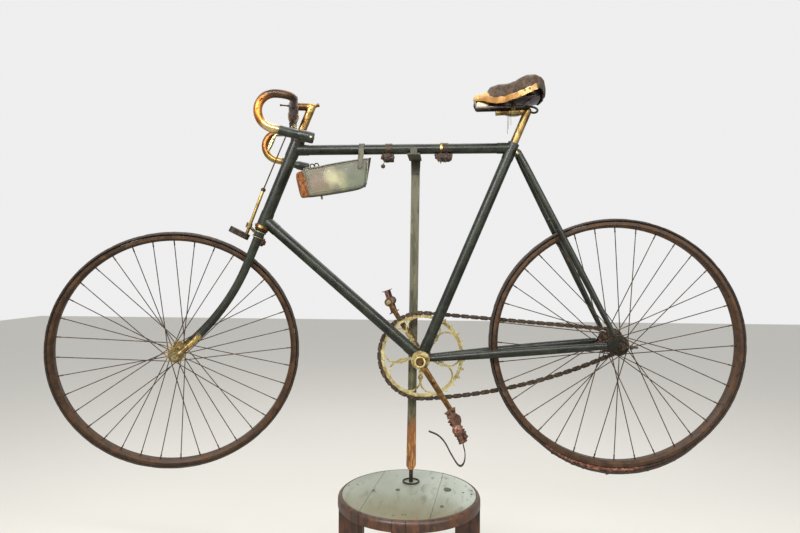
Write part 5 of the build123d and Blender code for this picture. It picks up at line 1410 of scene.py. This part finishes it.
brake = {
    "joint": (-426, 0, 445.3),
    "top": (-351.5, 0, 621),
    "foot": (-473.6, 0, 321.4),
    "ball": [(0, 1.5), (1.4, 4.2), (3.6, 6.0), (6.2, 6.6), (8.8, 6.0), (11, 4.2), (12.4, 1.5)],
    "eye": [(0, 4.4), (0.8, 5.4), (13.2, 5.4), (14, 4.4)],
    "loop": (-418.5, 175, 561.6),
    "loopRun": (22.4, 50.5),
    "loopAcross": (0.914, -0.405),
}
rodJoint = spot(*brake["joint"])
rodTop = spot(*brake["top"])
rodFoot = spot(*brake["foot"])
rodParts = [
    wirePiece("upperRod", [rodJoint, rodTop], 1.8, sides=2),
    turnedPiece("rodBall", rodJoint - Vector((0, 0, 6.2)) * mm, (0, 0, 1), brake["ball"], 16),
    turnedPiece("rodEye", rodTop - Vector((0, 7, 0)) * mm, (0, 1, 0), brake["eye"], 14),
]
finishPiece(steered(joined("brakeRodTop", rodParts)), "steering", darkIron, ["brake_rod"])
plungerLength = (rodJoint - rodFoot).length / mm
plungerStations = [(0, 4.4), (plungerLength - 3, 4.4), (plungerLength, 3.6)]
plunger = turnedPiece("brakePlunger", rodFoot, rodJoint - rodFoot, plungerStations, 20)
finishPiece(steered(plunger), "steering", rodBrass)
leverLoop = []
loopX, loopY, loopZ = brake["loop"]
for step in range(24):
    turn = math.radians(step * 15)
    run = 0.5 + 0.5 * math.sin(turn)
    width = 4.0 * math.cos(turn)
    x = loopX + brake["loopRun"][0] * run + brake["loopAcross"][0] * width
    leverLoop.append(spot(x, loopY, loopZ + brake["loopRun"][1] * run + brake["loopAcross"][1] * width))
loopPiece = wirePiece("brakeLeverLoop", leverLoop, 1.6, closed=True, sides=2)
finishPiece(steered(loopPiece, barRest), "steering", nickel)

toe = {
    "y": -124,
    "path": [
        (109, -176), (107.6, -187), (111.6, -204), (112.4, -218), (110.2, -231), (104.6, -239.4),
        (97.4, -239),
        (89, -229), (76.4, -208), (67, -190), (57, -176.5), (44, -166), (24.3, -158.3),
    ],
    "crust": (41, 34, 7.5),
    "lean": 65,
    "thorns": 18,
}


def curvePoint(points, share):
    # A smooth run through the points
    step = min(share * (len(points) - 1), len(points) - 1.0001)
    first = int(step)
    part = step - first
    near = [Vector(points[max(0, min(len(points) - 1, first + number))]) for number in (-1, 0, 1, 2)]
    bend = (near[2] - near[0]) * part + (near[0] * 2 - near[1] * 5 + near[2] * 4 - near[3]) * part**2
    return near[1] + (bend + (near[1] * 3 - near[0] - near[2] * 3 + near[3]) * part**3) * 0.5


def clipPoint(u, v):
    x, z = curvePoint(toe["path"], v)
    return x, toe["y"] + (u - 0.5) * (12 - 4 * v), z


toeClip = thickened(shapedGrid("toeClipStrip", 3, 80, clipPoint), 2.4)
finishPiece(toeClip, "pedal_left", darkIron, ["toe_clip_left"], smooth=50)
toeLean = Matrix.Rotation(math.radians(toe["lean"]), 4, "Y")
crust = startPiece("pedalCrust", bpy.ops.mesh.primitive_ico_sphere_add, subdivisions=5, radius=1 * mm)
crust.data.transform(toeLean @ Matrix.Diagonal((*toe["crust"], 1)))
for vertex in crust.data.vertices:
    local = vertex.co / mm
    out = Vector((local.x, 0, local.z)).normalized()
    vertex.co += out * (noise.noise(local / 9) * 7.0 + abs(noise.noise(local / 4)) * 4.5) * mm
random.seed(9)
spikes = [crust]
for number in range(toe["thorns"]):
    # Thorns of rust where the cage's teeth have swollen
    side = 1 if number % 2 else -1
    along = -37 + 74 * (number // 2) / 8 + random.uniform(-3, 3)
    foot = Vector((along, random.uniform(-26, 12), side * 6.5))
    direction = (random.uniform(-0.5, 0.5), 0, side)
    thornStations = [(-2, 6.0), (3, 4.6), (random.uniform(6.5, 9), 1.0)]
    thorn = turnedPiece("thorn", (0, 0, 0), direction, thornStations, 6)
    thorn.data.transform(toeLean @ Matrix.Translation(foot * mm))
    spikes.append(thorn)
crust = joined("pedalCrust", spikes)
leftX, leftZ = onArc(0, 0, -crank["length"], math.radians(crank["turn"]))
crust.data.transform(Matrix.Translation(spot(leftX, toe["y"], leftZ)))
finishPiece(crust, "pedal_left", rust, smooth=25)
dotStations = [(-6, 3.4), (0, 4.6), (1.8, 4.4), (2.4, 3.0), (2.6, 1)]
eyeDot = turnedPiece("pedalEyeDot", spot(79.4, -162, -118), (0, -1, 0), dotStations, 14)
finishPiece(eyeDot, "pedal_left", bone)
boltStations = [(-6, 5.0), (2.6, 5.0), (3.4, 5.6), (5.4, 5.2), (6.4, 3.6), (6.6, 1)]
seatBolt = turnedPiece("seatBolt", spot(247.6, -20, 535.9), (0, -1, 0), boltStations, 20)
finishPiece(seatBolt, "frame", ringBrass)

print("fittings of the top tube")
clips = {
    "band": [(0, 13.7), (0, 15.6), (0.6, 16.1), (6, 16.1), (6.6, 15.6), (6.6, 13.7), (0, 13.7)],
    "wads": [(-90, 17, 12.5, 2), (56, 21, 11.5, 7)],
    "shreds": [
        (38, 19, 0.35, 5.5), (47, 22, 0.1, 5), (53, 15, 0.3, 4), (62, 19, 0, 4.5), (70, 16, 0.2, 4),
        (76.5, 16, -0.05, 4), (-104, 10, -0.5, 4),
    ],
    "wire": [(-101, -6, 536), (-102.5, -8, 528), (-98.5, -9, 520), (-101, -9, 512), (-103, -9, 509)],
    "ball": [(-1, 1.5), (0, 3.6), (2, 5.2), (4.6, 5.8), (7.4, 5.0), (9.4, 3.2), (10.2, 1.0)],
}
clipBand = turnedPiece("pumpClipBand", spot(47.2, 0, 552), (1, 0, 0), clips["band"], 36, solid=False)
finishPiece(clipBand, "frame", clipBrass)
remains = []
for x, length, depth, seed in clips["wads"]:
    middle = spot(x, -1, 530.5)
    wad = startPiece("wad", bpy.ops.mesh.primitive_ico_sphere_add, subdivisions=4, radius=1 * mm)
    wad.data.transform(Matrix.Translation(middle) @ Matrix.Diagonal((length, 12.5, depth, 1)))
    for vertex in wad.data.vertices:
        local = (vertex.co - bracket) / mm
        out = (vertex.co - middle).normalized()
        swell = noise.noise(local / 5 + Vector((seed, 0, 0))) * 4.2 + noise.noise(local / 2.2) * 1.6
        vertex.co += out * swell * mm
    remains.append(wad)
for x, drop, lean, width in clips["shreds"]:
    shredStations = [(-4, width), (2, width * 0.95), (drop * 0.6, width * 0.6), (drop, 0.7)]
    shred = turnedPiece("shred", spot(x, -6, 533), (lean, -0.1, -1), shredStations, 7)
    roughened(shred, 1.6, 6, x)
    remains.append(shred)
finishPiece(joined("pumpClipRemains", remains), "frame", wadLeather, smooth=70)
ballWire = wirePiece("ballWire", spots(clips["wire"]), 0.8, sides=2)
ball = turnedPiece("ball", spot(-102.5, -9, 510), (0, 0, -1), clips["ball"], 16)
finishPiece(joined("pumpClipBall", [ballWire, ball]), "frame", darkIron)

print("camera and light")
viewpoint = {"place": (64.25, -1576.8, 236.6), "yaw": 4.4, "pitch": 0.17, "roll": 0.29, "lens": 26.88}
cameraData = bpy.data.cameras.new("photographView")
cameraData.sensor_width = 36
cameraData.lens = viewpoint["lens"]
camera = bpy.data.objects.new("photographView", cameraData)
bpy.context.scene.collection.objects.link(camera)
camera.matrix_world = (
    Matrix.Translation(spot(*viewpoint["place"]))
    @ Matrix.Rotation(math.radians(viewpoint["yaw"]), 4, "Z")
    @ Matrix.Rotation(math.radians(90 + viewpoint["pitch"]), 4, "X")
    @ Matrix.Rotation(math.radians(viewpoint["roll"]), 4, "Z")
)
bpy.context.scene.camera = camera
bpy.context.scene.view_settings.view_transform = "Standard"

floorLook = bpy.data.materials.new("palePlasterFloor")
floorLook.use_nodes = True
floorTree = floorLook.node_tree
floorShader = floorTree.nodes["Principled BSDF"]
floorShader.inputs["Base Color"].default_value = linear("#b8b5ae")
floorShader.inputs["Roughness"].default_value = 0.9
floorShader.inputs["Emission Color"].default_value = linear("#e6e4de")
floorRay = addNode(floorTree, "ShaderNodeLightPath").outputs["Is Camera Ray"]
floorGlow = addNode(
    floorTree, "ShaderNodeMapRange", inputs={"Value": floorRay, "To Min": 0, "To Max": 0.3}
).outputs["Result"]
floorTree.links.new(floorGlow, floorShader.inputs["Emission Strength"])
bpy.ops.mesh.primitive_plane_add(size=14, location=(0, 1.5, 0))
floorPiece = bpy.context.active_object
floorPiece.name = "studioFloor"
floorPiece.data.materials.append(floorLook)
world = bpy.data.worlds.new("studio")
bpy.context.scene.world = world
world.use_nodes = True
worldTree = world.node_tree
background = worldTree.nodes["Background"]
ray = addNode(worldTree, "ShaderNodeLightPath")
direct = {0: ray.outputs["Is Camera Ray"], 1: ray.outputs["Is Transmission Ray"]}
passing = addNode(worldTree, "ShaderNodeMath", {"operation": "MAXIMUM"}, direct)
mirrored = {0: passing.outputs[0], 1: ray.outputs["Is Glossy Ray"]}
seen = addNode(worldTree, "ShaderNodeMath", {"operation": "MAXIMUM"}, mirrored)
glow = {"Value": seen.outputs[0], "To Min": 0.45, "To Max": 0.86}
strength = addNode(worldTree, "ShaderNodeMapRange", inputs=glow)
background.inputs["Color"].default_value = (1, 1, 1, 1)
worldTree.links.new(strength.outputs["Result"], background.inputs["Strength"])

lamps = [
    {"name": "softKey", "place": (-900, -1900, 1500), "aim": (0, 0, 200), "size": 1.6, "power": 40},
    {
        "name": "softStrip", "place": (-200, -1500, 1150), "aim": (0, 0, 400), "size": 2.6, "height": 0.14,
        "power": 34,
    },
    {"name": "softFill", "place": (1500, -1500, 900), "aim": (0, 0, 100), "size": 1.6, "power": 22},
    {"name": "softTop", "place": (0, 700, 1900), "aim": (0, 0, 0), "size": 2.2, "power": 40},
]
for lamp in lamps:
    lampData = bpy.data.lights.new(lamp["name"], "AREA")
    lampData.shape = "RECTANGLE"
    lampData.size = lamp["size"]
    lampData.size_y = lamp.get("height", lamp["size"])
    lampData.energy = lamp["power"]
    lampPiece = bpy.data.objects.new(lamp["name"], lampData)
    bpy.context.scene.collection.objects.link(lampPiece)
    lampPiece.location = spot(*lamp["place"])
    lampPiece.rotation_euler = (spot(*lamp["aim"]) - lampPiece.location).to_track_quat("-Z", "Y").to_euler()
